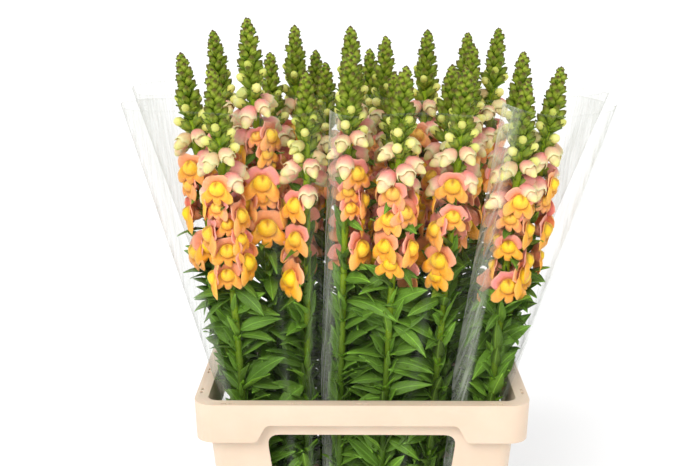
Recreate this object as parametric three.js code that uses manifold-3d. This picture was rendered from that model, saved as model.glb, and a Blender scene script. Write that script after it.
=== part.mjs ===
// Cut snapdragons in a flower container.
//
// A tapered cream container with a window in each wall and a turned-down rim holds shallow water and five
// clear film sleeves. Each sleeve wraps a bunch of cut snapdragon stems, which stand in the water and fan out
// above the rim. A stem is two meshes: the leafy stem, and the flower spike on top of it, with open blooms
// below, closed buds above them and a cone of green buds at the tip.
//
// Millimetres, +Z up, the front faces -Y. The origin is the centre of the container's underside.

import * as THREE from "three";
import { mergeVertices } from "three/addons/utils/BufferGeometryUtils.js";
import Module from "manifold-3d";

const wasm = await Module();
wasm.setup();

// ---------------------------------------------------------------- driving dimensions

const RIM = { halfX: 200, halfY: 150, radius: 25, z: 360, thick: 3 };
const WALL = { inset: 13, thick: 3, taperDeg: 5, radius: 16, floor: 3 };
const SKIRT = { corner: 48, middle: 26, thick: 2.6, draft: 1.8, rampIn: 11.5, cornerLength: 75 };
const WINDOW = { top: 44, bottom: 195, radius: 16, slopeDeg: 7, longHalf: 114, shortHalf: 64 };
const ARC_STEPS = 4;
const WATER = { depth: 72, gap: 0.4, holeGap: 2.6, holeSides: 4 };
const FILM = { thick: 0.8, crease: 2.2, clear: 2, across: [-1, -0.9, -0.66, 0, 0.66, 0.9, 1] };
const GAP = 0.3;

const FOOT_Z = WALL.floor + GAP;
const SPIKE_LENGTH = 262; // from the tip down to just under the lowest bloom
const SIDES = 5; // of a stem
const STEM_RADIUS = { foot: 4.6, top: 4, rachis: 3.2 };
const GOLDEN_DEG = 137.5;
const BOW = 10; // how widely the stems' sideways bows at half their length differ

// Blooms, buds and leaves are counted from the lowest bloom up, and from the highest leaf down.
// Each kind varies by its spreads, and a crowded organ tries the next of its shares, rises or turns.
const BLOOMS = {
  count: 7, lowest: 250, step: 18.4, stepSpread: 4, lift: 8,
  size: 1.05, sizeDrop: 0.035, sizeSpread: 0.06, shares: [1, 0.88, 0.76],
};
const BUDS = { count: 4, lowest: 126, step: 11.5, lift: 34, size: 1.05, sizeDrop: 0.1 };
const LEAVES = {
  count: 9, highest: 278, step: 37, stepSpread: 8, lowestZ: 172, turnDeg: 70,
  length: 42, lengthGain: 9, longest: 66, lengthSpread: 8, width: 0.24, droop: 0.65, droopSpread: 0.5,
  rises: [40, 56, 68, 26],
};
// The cone of closed buds at a spike's tip: [distance below the tip, radius at the buds, and between them].
const CONE = [[80, 4.2, 3.4], [66, 12, 7], [48, 11.5, 7], [31, 9.6, 6], [15, 6.4, 4]];
const CONE_SIDES = 6;
const TURNS = [0, 14, -14, 28, -28, 42, -42, 56, -56, 72, -72];

// Each sleeve's section at four heights: [z, left, right, front, back].
const SLEEVES = {
  left: [
    [150, -157, -53, -107, -6], [325, -171, -53, -122.5, -5],
    [360, -183.5, -52.2, -126, -4.5], [705, -280, -42, -160, -12],
  ],
  middle: [
    [150, -49, 90, -107, -6], [325, -50.5, 109, -122.5, -5],
    [360, -51.6, 112, -126, -4.5], [703, -38, 158, -160, -12],
  ],
  right: [
    [150, 94, 157, -107, -6], [325, 112.5, 171, -122.5, -5],
    [360, 112.6, 183.5, -126, -4.5], [706, 162, 294, -160, -12],
  ],
  back_left: [
    [150, -157, -28, -2, 107], [325, -171, -27.5, -3, 122.5],
    [360, -183.5, -25.5, -3.5, 126], [708, -299, -24, -6, 160],
  ],
  back_right: [
    [150, -24, 157, -2, 107], [325, -23.5, 171, -3, 122.5],
    [360, -24.9, 183.5, -3.5, 126], [704, -18, 322, -6, 160],
  ],
};

// Each stem: its sleeve, its foot x and y, its tip x, y and z, and the direction in which its lowest bloom
// faces, in degrees from +X towards +Y.
const STEMS = [
  ["left", -124, -44, -211, -70, 766, 140],
  ["left", -126, -78, -169, -122, 752, 150],
  ["left", -92, -42, -133, -78, 806, 225],
  ["left", -74, -78, -65, -88, 746, 285],
  ["middle", -30, -72, -13, -105, 769, 165],
  ["middle", 16, -34, 38, -45, 740, 70],
  ["middle", 18, -84, 49, -120, 755, 50],
  ["middle", 60, -36, 106, -55, 751, 110],
  ["middle", 64, -72, 118, -108, 752, 150],
  ["right", 130, -32, 189, -56, 766, 20],
  ["right", 130, -84, 187, -109, 737, 150],
  ["right", 105, -58, 229, -84, 751, 230],
  ["back_left", -118, 36, -188, 48, 785, 140],
  ["back_left", -88, 22, -116, 40, 758, 290],
  ["back_left", -72, 52, -86, 74, 790, 150],
  ["back_left", -58, 86, -62, 122, 755, 60],
  ["back_left", -50, 36, -47, 58, 744, 200],
  ["middle", -14, -38, -14, -48, 795, 150],
  ["back_right", 14, 76, 10, 104, 758, 280],
  ["back_right", 28, 26, 30, 42, 778, 165],
  ["back_right", 58, 58, 85, 80, 784, 140],
  ["back_right", 90, 84, 140, 118, 778, 60],
  ["back_right", 92, 28, 140, 40, 767, 150],
  ["back_right", 124, 56, 176, 80, 786, 235],
];

const CREAM = new THREE.MeshStandardMaterial({ color: 0xf6e6c8, roughness: 0.5, metalness: 0 });
const GREEN = new THREE.MeshStandardMaterial({ color: 0x4c8a2c, roughness: 0.55, metalness: 0 });
const APRICOT = new THREE.MeshStandardMaterial({ color: 0xf2924c, roughness: 0.6, metalness: 0 });
const CLEAR = new THREE.MeshStandardMaterial({
  color: 0xeef3f5, roughness: 0.15, metalness: 0, transparent: true, opacity: 0.2,
});
const WATERY = new THREE.MeshStandardMaterial({
  color: 0xcfe0dc, roughness: 0.05, metalness: 0, transparent: true, opacity: 0.4,
});

const rad = THREE.MathUtils.degToRad;
const V = (x, y, z) => new THREE.Vector3(x, y, z);
const countUp = (count) => Array.from({ length: count }, (_, i) => i);

// ---------------------------------------------------------------- solids

// A three.js geometry as a manifold-3d solid.
function solid(geometry) {
  geometry.deleteAttribute("normal");
  geometry.deleteAttribute("uv");
  const merged = mergeVertices(geometry, 1e-4);
  return new wasm.Manifold(new wasm.Mesh({
    numProp: 3,
    vertProperties: new Float32Array(merged.attributes.position.array),
    triVerts: new Uint32Array(merged.index.array),
  }));
}

// The largest connected body of a solid, as a named mesh.
function mesh(name, made, material) {
  const [body] = made.decompose().sort((a, b) => b.volume() - a.volume());
  const { vertProperties, triVerts } = body.getMesh();
  const geometry = new THREE.BufferGeometry()
    .setAttribute("position", new THREE.BufferAttribute(vertProperties, 3))
    .setIndex(new THREE.BufferAttribute(triVerts, 1));
  const result = new THREE.Mesh(geometry, material);
  result.name = name;
  return result;
}

function geometryOf(points, faces) {
  return new THREE.BufferGeometry()
    .setAttribute("position", new THREE.Float32BufferAttribute(points.flatMap((p) => [p.x, p.y, p.z]), 3))
    .setIndex(faces.flat());
}

// A closed skin over rings of points, which may differ in count but start at the same side and run
// anticlockwise seen from beyond the last one. The first and the last may be a single point.
function skin(rings) {
  const faces = [];
  const cap = (start, count, face) => {
    for (let i = 1; i < count - 1; i++) faces.push(face(start, start + i, start + i + 1));
  };
  cap(0, rings[0].length, (a, b, c) => [a, c, b]);
  let start = 0;
  rings.slice(1).forEach(({ length: n }, k) => {
    const m = rings[k].length;
    const low = (i) => start + (i % m);
    const high = (j) => start + m + (j % n);
    const lowSteps = m > 1 ? m : 0;
    const highSteps = n > 1 ? n : 0;
    for (let i = 0, j = 0; i < lowSteps || j < highSteps; ) {
      if (j === highSteps || (i < lowSteps && (i + 1) / m <= (j + 1) / n)) {
        faces.push([low(i), low(i + 1), high(j)]);
        i += 1;
      } else {
        faces.push([low(i), high(j + 1), high(j)]);
        j += 1;
      }
    }
    start += m;
  });
  cap(start, rings.at(-1).length, (a, b, c) => [a, b, c]);
  return geometryOf(rings.flat(), faces);
}

// A rectangle with round corners at height z, anticlockwise from above.
function roundedRing(halfX, halfY, radius, z) {
  const ring = [];
  [[1, 1], [-1, 1], [-1, -1], [1, -1]].forEach(([sx, sy], quarter) => {
    for (let i = 0; i <= ARC_STEPS; i++) {
      const a = (quarter + i / ARC_STEPS) * Math.PI / 2;
      ring.push(V(
        sx * (halfX - radius) + radius * Math.cos(a), sy * (halfY - radius) + radius * Math.sin(a), z));
    }
  });
  return ring;
}

// ---------------------------------------------------------------- container

const taper = Math.tan(rad(WALL.taperDeg));
// How far a wall's outer face lies inside the rim's edge at height z.
const wallInset = (z) => WALL.inset + (RIM.z - z) * taper;

function wallRing(z, inward) {
  const inset = wallInset(z) + inward;
  return roundedRing(RIM.halfX - inset, RIM.halfY - inset, WALL.radius - inward, z);
}

// A window's outline in a wall of which x is the width: round top corners, sides that close in downwards.
function windowShape(half) {
  const { top, bottom, radius, slopeDeg } = WINDOW;
  const high = RIM.z - top;
  const low = RIM.z - bottom;
  const slope = Math.tan(rad(slopeDeg)) * (bottom - top);
  const shape = new THREE.Shape();
  shape.moveTo(-half + slope + radius, low);
  shape.lineTo(half - slope - radius, low);
  shape.quadraticCurveTo(half - slope, low, half - slope * 0.9, low + radius);
  shape.lineTo(half - slope * 0.1, high - radius);
  shape.quadraticCurveTo(half, high, half - radius, high);
  shape.lineTo(-half + radius, high);
  shape.quadraticCurveTo(-half, high, -half + slope * 0.1, high - radius);
  shape.lineTo(-half + slope * 0.9, low + radius);
  shape.quadraticCurveTo(-half + slope, low, -half + slope + radius, low);
  return shape;
}

// The shorter middle of a skirt side, as the outline of what is cut away under it.
function skirtCutShape(rimHalf) {
  const wide = rimHalf - SKIRT.cornerLength;
  const low = RIM.z - SKIRT.corner;
  const high = RIM.z - SKIRT.middle;
  const shape = new THREE.Shape();
  shape.moveTo(-wide - 1, low - 2);
  shape.lineTo(wide + 1, low - 2);
  shape.lineTo(wide, low);
  shape.lineTo(wide - SKIRT.rampIn, high);
  shape.lineTo(-wide + SKIRT.rampIn, high);
  shape.lineTo(-wide, low);
  return shape;
}

// A shape drawn in width and height, as a bar through the container from front to back or from side to side.
function crossBar(shape, alongX) {
  const reach = RIM.halfX + 5;
  const bar = new THREE.ExtrudeGeometry(shape, { depth: 2 * reach, bevelEnabled: false, curveSegments: 3 });
  bar.translate(0, 0, -reach);
  bar.rotateX(Math.PI / 2);
  if (alongX) bar.rotateZ(Math.PI / 2);
  return solid(bar);
}

function container() {
  const { halfX, halfY, radius, z, thick } = RIM;
  const shell = solid(skin([wallRing(0, 0), wallRing(z - thick / 2, 0)]));
  const cavity = solid(skin([wallRing(WALL.floor, WALL.thick), wallRing(z + 1, WALL.thick)]));
  const { draft, corner } = SKIRT;
  const skirtRing = (inward, height) => roundedRing(halfX - inward, halfY - inward, radius - inward, height);
  const band = solid(skin([skirtRing(draft, z - corner), skirtRing(0, z)]));
  const hollow = solid(skin([
    skirtRing(draft + SKIRT.thick, z - corner - 1), skirtRing(SKIRT.thick, z - thick)]));
  return band
    .subtract(hollow)
    .subtract(crossBar(skirtCutShape(halfX), false))
    .subtract(crossBar(skirtCutShape(halfY), true))
    .add(shell)
    .subtract(cavity)
    .subtract(crossBar(windowShape(WINDOW.longHalf), false))
    .subtract(crossBar(windowShape(WINDOW.shortHalf), true));
}

// ---------------------------------------------------------------- sleeves

// A sleeve's section at height z, between the heights that it is given at.
function sleeveAt(name, z) {
  const keys = SLEEVES[name];
  const k = keys.slice(1, -1).filter(([height]) => z >= height).length;
  const [low, high] = [keys[k], keys[k + 1]];
  const t = (z - low[0]) / (high[0] - low[0]);
  const [, left, right, front, back] = low.map((value, i) => value + (high[i] - value) * t);
  const middle = { x: (left + right) / 2, y: (front + back) / 2 };
  return { ...middle, halfX: (right - left) / 2, halfY: (back - front) / 2 };
}

// The section is a lens: two bulging sides that meet in a crease at the left and the right.
const lens = (u) => 1 - u ** 6;

// Whether a ball lies inside a sleeve's film. Above its mouth there is room everywhere.
function fitsSleeve(name, { at, radius }) {
  const [[bottom], , , [mouth]] = SLEEVES[name];
  if (at.z > mouth + radius) return true;
  const s = sleeveAt(name, Math.max(at.z, bottom));
  const reach = radius + FILM.clear;
  const u = (Math.abs(at.x - s.x) + reach) / s.halfX;
  return u < 1 && s.halfY * lens(u) > Math.abs(at.y - s.y) + reach;
}

// A sleeve's section at height z as a ring, drawn in by inset and in its creases by crease.
function sleeveRing(name, z, inset, crease) {
  const s = sleeveAt(name, z);
  const point = (u, side) => {
    const reach = Math.abs(u) < 1 ? s.halfY * lens(u) - inset : 0;
    return V(s.x + u * (s.halfX - crease), s.y + side * reach, z);
  };
  const back = FILM.across.slice(1, -1).reverse();
  return [...FILM.across.map((u) => point(u, -1)), ...back.map((u) => point(u, 1))];
}

// A tube whose wall runs up its outside and down its inside. Both sides are split along the same diagonals,
// so the wall keeps its thickness where it twists.
function sleeve(name) {
  const heights = SLEEVES[name].map(([z]) => z);
  const outside = heights.map((z) => sleeveRing(name, z, 0, 0));
  const inside = heights.map((z) => sleeveRing(name, z, FILM.thick, FILM.crease)).reverse();
  const rings = [...outside, ...inside];
  const n = rings[0].length;
  const faces = rings.flatMap((_, k) => countUp(n).flatMap((i) => {
    const next = (k + 1) % rings.length;
    const [a, b, c, d] = [k * n + i, k * n + (i + 1) % n, next * n + (i + 1) % n, next * n + i];
    return k < heights.length ? [[a, b, c], [a, c, d]] : [[a, b, d], [b, c, d]];
  }));
  return solid(geometryOf(rings.flat(), faces));
}

// ---------------------------------------------------------------- how the stems grow

// A repeatable draw from 0 to 1 for a list of whole numbers.
function draw(...keys) {
  let h = 2166136261;
  for (const key of keys) h = Math.imul(h ^ (key + 1), 16777619) >>> 0;
  h = (h ^ (h >>> 13)) >>> 0;
  h = Math.imul(h, 1540483477) >>> 0;
  h = (h ^ (h >>> 15)) >>> 0;
  return h / 4294967296;
}

const vary = (spread, ...keys) => spread * (draw(...keys) - 0.5);

// A stem's line from foot to tip, and the directions across it.
const stems = STEMS.map(([bunch, footX, footY, tipX, tipY, tipZ, faceDeg], index) => {
  const foot = V(footX, footY, FOOT_Z);
  const chord = V(tipX, tipY, tipZ).sub(foot);
  const up = chord.clone().normalize();
  const east = V(1, 0, 0).addScaledVector(up, -up.x).normalize();
  const north = up.clone().cross(east);
  const bow = V(vary(BOW, index, 900), vary(BOW, index, 901), 0);
  const number = String(index + 1).padStart(2, "0");
  const names = { stem: `leafy_stem_${number}`, spike: `flower_spike_${number}` };
  return { index, bunch, names, foot, chord, length: chord.length(), up, east, north, bow, faceDeg };
});

// The point on a stem's axis that lies d below its tip.
function axisPoint(stem, d) {
  const u = 1 - d / stem.length;
  return stem.foot.clone().addScaledVector(stem.chord, u).addScaledVector(stem.bow, 4 * u * (1 - u));
}

// A point of something that grows out of a stem: out along its heading, aside, and up along the stem,
// with the whole lifted about its root.
function grown(stem, organ, [out, side, up]) {
  const a = rad(organ.heading);
  const e = rad(organ.lift);
  const o = (out * Math.cos(e) - up * Math.sin(e)) * organ.size;
  const h = (out * Math.sin(e) + up * Math.cos(e)) * organ.size;
  const s = side * organ.size;
  return axisPoint(stem, organ.below)
    .addScaledVector(stem.east, o * Math.cos(a) - s * Math.sin(a))
    .addScaledVector(stem.north, o * Math.sin(a) + s * Math.cos(a))
    .addScaledVector(stem.up, h);
}

// A leaf's midrib bends outwards from its lift: [out, up] at the share t of its length.
function midrib(leaf, t) {
  const e = rad(leaf.rise);
  const bend = 0.5 * leaf.droop * t * t;
  const out = t * Math.cos(e) + bend * Math.sin(e);
  const up = t * Math.sin(e) - bend * Math.cos(e);
  return [leaf.length * out, leaf.length * up];
}

function leafPoint(stem, leaf, t, side, raised) {
  const [out, up] = midrib(leaf, t);
  return grown(stem, leaf, [out, side, up + raised]);
}

// The room that an organ takes, as balls: [out, side, up, radius].
const BLOOM_ROOM = [
  [10, 0, 1, 5], [19, 0, 0, 7], [26, 9, 12, 7.5], [26, -9, 12, 7.5], [28, 0, 0, 8],
  [28, 12, -8, 7.5], [28, -12, -8, 7.5], [31, 0, -11, 6],
];
const BUD_ROOM = [[8, 0, 0, 4.5], [16, 0, 0, 6]];
// The same for a leaf: [share of its length, share of its half width, radius].
const LEAF_ROOM = [
  [0.13, 0, 3.5], [0.27, 0, 5.5], [0.42, 0.55, 4.8], [0.42, -0.55, 4.8],
  [0.57, 0.5, 5], [0.57, -0.5, 5], [0.72, 0.3, 5], [0.72, -0.3, 5], [0.87, 0, 4.5], [1, 0, 2.5],
];
const AXIS_STEP = 10;

// Every ball so far: its centre, its radius, and the mesh that it belongs to.
const taken = [];
stems.forEach((stem) => {
  for (let d = AXIS_STEP / 2; d < stem.length; d += AXIS_STEP) {
    const radius = d < CONE[0][0] ? CONE[1][1] : STEM_RADIUS.foot;
    taken.push({ at: axisPoint(stem, d), radius, of: d < SPIKE_LENGTH ? stem.names.spike : stem.names.stem });
  }
});

// What belongs to one mesh is grown together at the axis, so only the balls of others are in the way.
const isClear = (bunch, balls) =>
  balls.every((ball) => fitsSleeve(bunch, ball) &&
    taken.every((t) => t.of === ball.of || ball.at.distanceTo(t.at) > ball.radius + t.radius));

// The first of the choices that is clear of all that is placed, or nothing.
function settle(stem, choices, ballsOf) {
  for (const organ of choices) {
    const balls = ballsOf(organ);
    if (isClear(stem.bunch, balls)) {
      taken.push(...balls);
      return [organ];
    }
  }
  return [];
}

function growBloom(stem, j) {
  const heading = stem.faceDeg + j * GOLDEN_DEG;
  const below = BLOOMS.lowest - BLOOMS.step * j + vary(BLOOMS.stepSpread, stem.index, j, 1);
  const full = BLOOMS.size - BLOOMS.sizeDrop * j + vary(BLOOMS.sizeSpread, stem.index, j, 2);
  const choices = BLOOMS.shares.flatMap((share) =>
    TURNS.map((turn) => ({ heading: heading + turn, below, lift: BLOOMS.lift, size: full * share })));
  return settle(stem, choices, (bloom) => BLOOM_ROOM.map(([out, side, up, radius]) => (
    { at: grown(stem, bloom, [out, side, up]), radius: radius * bloom.size, of: stem.names.spike })));
}

function growBud(stem, j) {
  const heading = stem.faceDeg + (BLOOMS.count + j) * GOLDEN_DEG;
  const below = BUDS.lowest - BUDS.step * j;
  const size = BUDS.size - BUDS.sizeDrop * j;
  const choices = TURNS.map((turn) => ({ heading: heading + turn, below, lift: BUDS.lift, size }));
  return settle(stem, choices, (bud) => BUD_ROOM.map(([out, side, up, radius]) => (
    { at: grown(stem, bud, [out, side, up]), radius: radius * size, of: stem.names.spike })));
}

function growLeaf(stem, j) {
  const below = LEAVES.highest + LEAVES.step * j + vary(LEAVES.stepSpread, stem.index, j, 3);
  if (axisPoint(stem, below).z < LEAVES.lowestZ) return [];
  const heading = stem.faceDeg + LEAVES.turnDeg + j * GOLDEN_DEG;
  const grownLength = Math.min(LEAVES.length + LEAVES.lengthGain * j, LEAVES.longest);
  const length = grownLength + vary(LEAVES.lengthSpread, stem.index, j, 4);
  const droop = LEAVES.droop + vary(LEAVES.droopSpread, stem.index, j, 5);
  const half = length * LEAVES.width / 2;
  const choices = LEAVES.rises.flatMap((rise) =>
    TURNS.map((turn) => ({ heading: heading + turn, below, lift: 0, size: 1, length, half, rise, droop })));
  return settle(stem, choices, (leaf) => LEAF_ROOM.map(([t, side, radius]) => (
    { at: leafPoint(stem, leaf, t, side * half, 0), radius, of: stem.names.stem })));
}

const growAll = (grow, { count }) => stems.map((stem) => countUp(count).flatMap((j) => grow(stem, j)));
const blooms = growAll(growBloom, BLOOMS);
const buds = growAll(growBud, BUDS);
const leaves = growAll(growLeaf, LEAVES);

// ---------------------------------------------------------------- what grows, as solids

// Points round a stem's axis at the distance d below its tip, one for each of the radii.
function stemRing(stem, d, radii, turnDeg = 0) {
  const centre = axisPoint(stem, d);
  return radii.map((radius, i) => {
    const a = (i / radii.length) * 2 * Math.PI + rad(turnDeg);
    return centre.clone()
      .addScaledVector(stem.east, radius * Math.cos(a)).addScaledVector(stem.north, radius * Math.sin(a));
  });
}

const evenRing = (stem, d, radius, sides = SIDES) => stemRing(stem, d, Array(sides).fill(radius));

// A ring of the cone, with a bud at every other point and the buds of the next ring between them.
function coneRing(stem, k) {
  const [d, wide, narrow] = CONE[k];
  return stemRing(stem, d, countUp(CONE_SIDES).map((i) => ((i + k) % 2 ? wide : narrow)), stem.faceDeg);
}

// A bloom's tube widens from a slim stalk and opens into an upper lip of two lobes and a lower lip of three,
// round a raised palate.
const BLOOM_RINGS = [
  [[0, 0, 0]],
  [[18, 0, 7], [18, -7, -5], [18, 7, -5]],
  [
    [24, 0, 11], [26, -13, 17], [23, -10, 2], [29, -18, -9],
    [31, 0, -15], [29, 18, -9], [23, 10, 2], [26, 13, 17],
  ],
  [[33, 0, -1]],
];
const BUD_RINGS = [
  [[0, 0, 0]],
  [[14, 0, 6.5], [13, -6.5, 0], [13, 0, -6], [13, 6.5, 0]],
  [[23, 0, -1]],
];

// A leaf's sections from root to tip: [share of its length, share of its half width, keel].
const LEAF_SECTIONS = [[-0.045, 0, 0], [0.36, 1, 1.8], [0.7, 0.8, 1.4], [1, 0, 0]];

const organSolid = (stem, organ, rings) =>
  solid(skin(rings.map((ring) => ring.map((p) => grown(stem, organ, p)))));

// A leaf is a lance with a keel under its midrib. Its root lies a little past the stem's axis.
function leafSolid(stem, leaf) {
  const rings = LEAF_SECTIONS.map(([t, wide, keel]) => {
    const corners = keel > 0 ? [[0, -keel], [wide * leaf.half, 0], [-wide * leaf.half, 0]] : [[0, 0]];
    return corners.map(([side, raised]) => leafPoint(stem, leaf, t, side, raised));
  });
  return solid(skin(rings));
}

function flowerSpike(stem) {
  const rachis = solid(skin([
    evenRing(stem, SPIKE_LENGTH, STEM_RADIUS.top),
    evenRing(stem, SPIKE_LENGTH / 2, STEM_RADIUS.rachis),
    ...countUp(CONE.length).map((k) => coneRing(stem, k)),
    [axisPoint(stem, 0)],
  ]));
  return wasm.Manifold.union([
    rachis,
    ...blooms[stem.index].map((bloom) => organSolid(stem, bloom, BLOOM_RINGS)),
    ...buds[stem.index].map((bud) => organSolid(stem, bud, BUD_RINGS)),
  ]);
}

// A stem below its spike, cut flat at the foot.
function stalk(stem) {
  const top = SPIKE_LENGTH + GAP;
  const foot = evenRing(stem, stem.length, STEM_RADIUS.foot);
  foot.forEach((p) => p.setZ(FOOT_Z));
  return solid(skin([
    foot, evenRing(stem, (stem.length + top) / 2, STEM_RADIUS.foot), evenRing(stem, top, STEM_RADIUS.top)]));
}

const leafyStem = (stem) =>
  wasm.Manifold.union([stalk(stem), ...leaves[stem.index].map((leaf) => leafSolid(stem, leaf))]);

// Water in the bottom of the container, with a plain hole for each stem.
function water() {
  const clear = WALL.thick + WATER.gap;
  const low = WALL.floor + WATER.gap;
  const body = solid(skin([wallRing(low, clear), wallRing(WALL.floor + WATER.depth, clear)]));
  const { holeGap, holeSides } = WATER;
  const hole = (stem) => solid(skin([stem.length + 5, stem.length - WATER.depth - 10].map((d) =>
    evenRing(stem, d, STEM_RADIUS.foot + holeGap, holeSides))));
  return stems.reduce((rest, stem) => rest.subtract(hole(stem)), body);
}

// ---------------------------------------------------------------- the whole

const plant = new THREE.Group();
plant.add(mesh("container", container(), CREAM), mesh("water", water(), WATERY));
for (const name of Object.keys(SLEEVES)) plant.add(mesh(`sleeve_${name}`, sleeve(name), CLEAR));
for (const stem of stems) {
  plant.add(mesh(stem.names.stem, leafyStem(stem), GREEN));
  plant.add(mesh(stem.names.spike, flowerSpike(stem), APRICOT));
}

export default plant;
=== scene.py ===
"""Cut snapdragons in a flower container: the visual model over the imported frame.

The stems grow by the same rule as in the part's source, so every bloom, bud and leaf sits where its solid is.
Shapes are worked out in millimetres and turned into metres when a mesh is made.
"""

import functools
import itertools
import math

import bpy
import numpy as np
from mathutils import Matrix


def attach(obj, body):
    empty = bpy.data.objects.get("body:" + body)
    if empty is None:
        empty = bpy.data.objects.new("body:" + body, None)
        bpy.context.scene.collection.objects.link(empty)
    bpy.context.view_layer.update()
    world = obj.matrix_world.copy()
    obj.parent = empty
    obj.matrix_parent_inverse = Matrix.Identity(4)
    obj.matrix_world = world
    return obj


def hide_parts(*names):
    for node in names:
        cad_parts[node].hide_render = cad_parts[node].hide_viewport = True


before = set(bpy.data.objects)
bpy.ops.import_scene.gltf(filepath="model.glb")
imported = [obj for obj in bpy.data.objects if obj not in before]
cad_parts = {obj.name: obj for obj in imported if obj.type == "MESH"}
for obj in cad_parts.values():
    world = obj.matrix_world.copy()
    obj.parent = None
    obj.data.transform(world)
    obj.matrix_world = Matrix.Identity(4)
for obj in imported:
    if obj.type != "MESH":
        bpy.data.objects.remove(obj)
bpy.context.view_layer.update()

MM = 0.001

# ---------------------------------------------------------------- driving dimensions, as in the part's source

RIM = {"half_x": 200, "half_y": 150, "radius": 25, "z": 360, "thick": 3}
WALL = {"inset": 13, "thick": 3, "taper": math.tan(math.radians(5)), "radius": 16, "floor": 3}
SKIRT = {"corner": 48, "middle": 26, "thick": 2.6, "draft": 1.8, "ramp_in": 11.5, "corner_length": 75}
WINDOW = {"top": 44, "bottom": 195, "radius": 16, "slope_deg": 7, "long_half": 114, "short_half": 64}
WATER = {"depth": 72, "gap": 0.4}
FILM = {"clear": 2}
GAP = 0.3
FOOT_Z = WALL["floor"] + GAP
SPIKE_LENGTH = 262
STEM_RADIUS = {"foot": 4.6, "top": 4, "rachis": 3.2}
GOLDEN_DEG = 137.5
BOW = 10
BLOOMS = {
    "count": 7, "lowest": 250, "step": 18.4, "step_spread": 4, "turn_deg": 0, "lift": 8,
    "size": 1.05, "size_drop": 0.035, "size_spread": 0.06, "shares": [1, 0.88, 0.76],
}
BUDS = {
    "count": 4, "lowest": 126, "step": 11.5, "turn_deg": BLOOMS["count"] * GOLDEN_DEG, "lift": 34,
    "size": 1.05, "size_drop": 0.1,
}
LEAVES = {
    "count": 9, "highest": 278, "step": 37, "step_spread": 8, "lowest_z": 172, "turn_deg": 70,
    "length": 42, "length_gain": 9, "longest": 66, "length_spread": 8, "width": 0.24, "droop": 0.65,
    "droop_spread": 0.5, "rises": [40, 56, 68, 26],
}
CONE_TOP_BALLS = 80
CONE_RADIUS = 12
TURNS = [0, 14, -14, 28, -28, 42, -42, 56, -56, 72, -72]
SLEEVES = {
    "left": [
        [150, -157, -53, -107, -6], [325, -171, -53, -122.5, -5],
        [360, -183.5, -52.2, -126, -4.5], [705, -280, -42, -160, -12],
    ],
    "middle": [
        [150, -49, 90, -107, -6], [325, -50.5, 109, -122.5, -5],
        [360, -51.6, 112, -126, -4.5], [703, -38, 158, -160, -12],
    ],
    "right": [
        [150, 94, 157, -107, -6], [325, 112.5, 171, -122.5, -5],
        [360, 112.6, 183.5, -126, -4.5], [706, 162, 294, -160, -12],
    ],
    "back_left": [
        [150, -157, -28, -2, 107], [325, -171, -27.5, -3, 122.5],
        [360, -183.5, -25.5, -3.5, 126], [708, -299, -24, -6, 160],
    ],
    "back_right": [
        [150, -24, 157, -2, 107], [325, -23.5, 171, -3, 122.5],
        [360, -24.9, 183.5, -3.5, 126], [704, -18, 322, -6, 160],
    ],
}
STEMS = [
    ("left", -124, -44, -211, -70, 766, 140),
    ("left", -126, -78, -169, -122, 752, 150),
    ("left", -92, -42, -133, -78, 806, 225),
    ("left", -74, -78, -65, -88, 746, 285),
    ("middle", -30, -72, -13, -105, 769, 165),
    ("middle", 16, -34, 38, -45, 740, 70),
    ("middle", 18, -84, 49, -120, 755, 50),
    ("middle", 60, -36, 106, -55, 751, 110),
    ("middle", 64, -72, 118, -108, 752, 150),
    ("right", 130, -32, 189, -56, 766, 20),
    ("right", 130, -84, 187, -109, 737, 150),
    ("right", 105, -58, 229, -84, 751, 230),
    ("back_left", -118, 36, -188, 48, 785, 140),
    ("back_left", -88, 22, -116, 40, 758, 290),
    ("back_left", -72, 52, -86, 74, 790, 150),
    ("back_left", -58, 86, -62, 122, 755, 60),
    ("back_left", -50, 36, -47, 58, 744, 200),
    ("middle", -14, -38, -14, -48, 795, 150),
    ("back_right", 14, 76, 10, 104, 758, 280),
    ("back_right", 28, 26, 30, 42, 778, 165),
    ("back_right", 58, 58, 85, 80, 784, 140),
    ("back_right", 90, 84, 140, 118, 778, 60),
    ("back_right", 92, 28, 140, 40, 767, 150),
    ("back_right", 124, 56, 176, 80, 786, 235),
]

BLOOM_ROOM = [
    (10, 0, 1, 5), (19, 0, 0, 7), (26, 9, 12, 7.5), (26, -9, 12, 7.5), (28, 0, 0, 8),
    (28, 12, -8, 7.5), (28, -12, -8, 7.5), (31, 0, -11, 6),
]
BUD_ROOM = [(8, 0, 0, 4.5), (16, 0, 0, 6)]
LEAF_ROOM = [
    (0.13, 0, 3.5), (0.27, 0, 5.5), (0.42, 0.55, 4.8), (0.42, -0.55, 4.8),
    (0.57, 0.5, 5), (0.57, -0.5, 5), (0.72, 0.3, 5), (0.72, -0.3, 5), (0.87, 0, 4.5), (1, 0, 2.5),
]
AXIS_STEP = 10

# ---------------------------------------------------------------- what only the visual model has

# Blooms and closed buds between the ones that the source grows, young round buds above them, and the green
# buds of the cone at the tip. The slack is the share of a ball's radius that has to be free. A table's key
# tells its draws from the others.
FILL_BLOOMS = {
    "count": 11, "lowest": 243, "step": 10.4, "step_spread": 4, "turn_deg": 69, "lift": 8,
    "size": 0.98, "size_drop": 0.025, "shares": [1, 0.88, 0.76], "slack": 0.66, "key": 12,
}
FILL_BUDS = {
    "count": 4, "lowest": 144, "step": 13, "step_spread": 4, "turn_deg": 33, "lift": 30,
    "size": 1.05, "size_drop": 0.06, "shares": [1, 0.88, 0.76], "slack": 0.9, "key": 14,
}
YOUNG_BUDS = {
    "count": 9, "tip": 92, "tip_step": 5.4, "tip_spread": 3, "length": 27, "turn_deg": 12,
    "lift": 44, "lift_gain": 8, "size": 1.16, "size_drop": 0.32, "room": [(14, 0, 0, 3), (21, 0, 0, 4.6)],
}
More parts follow.
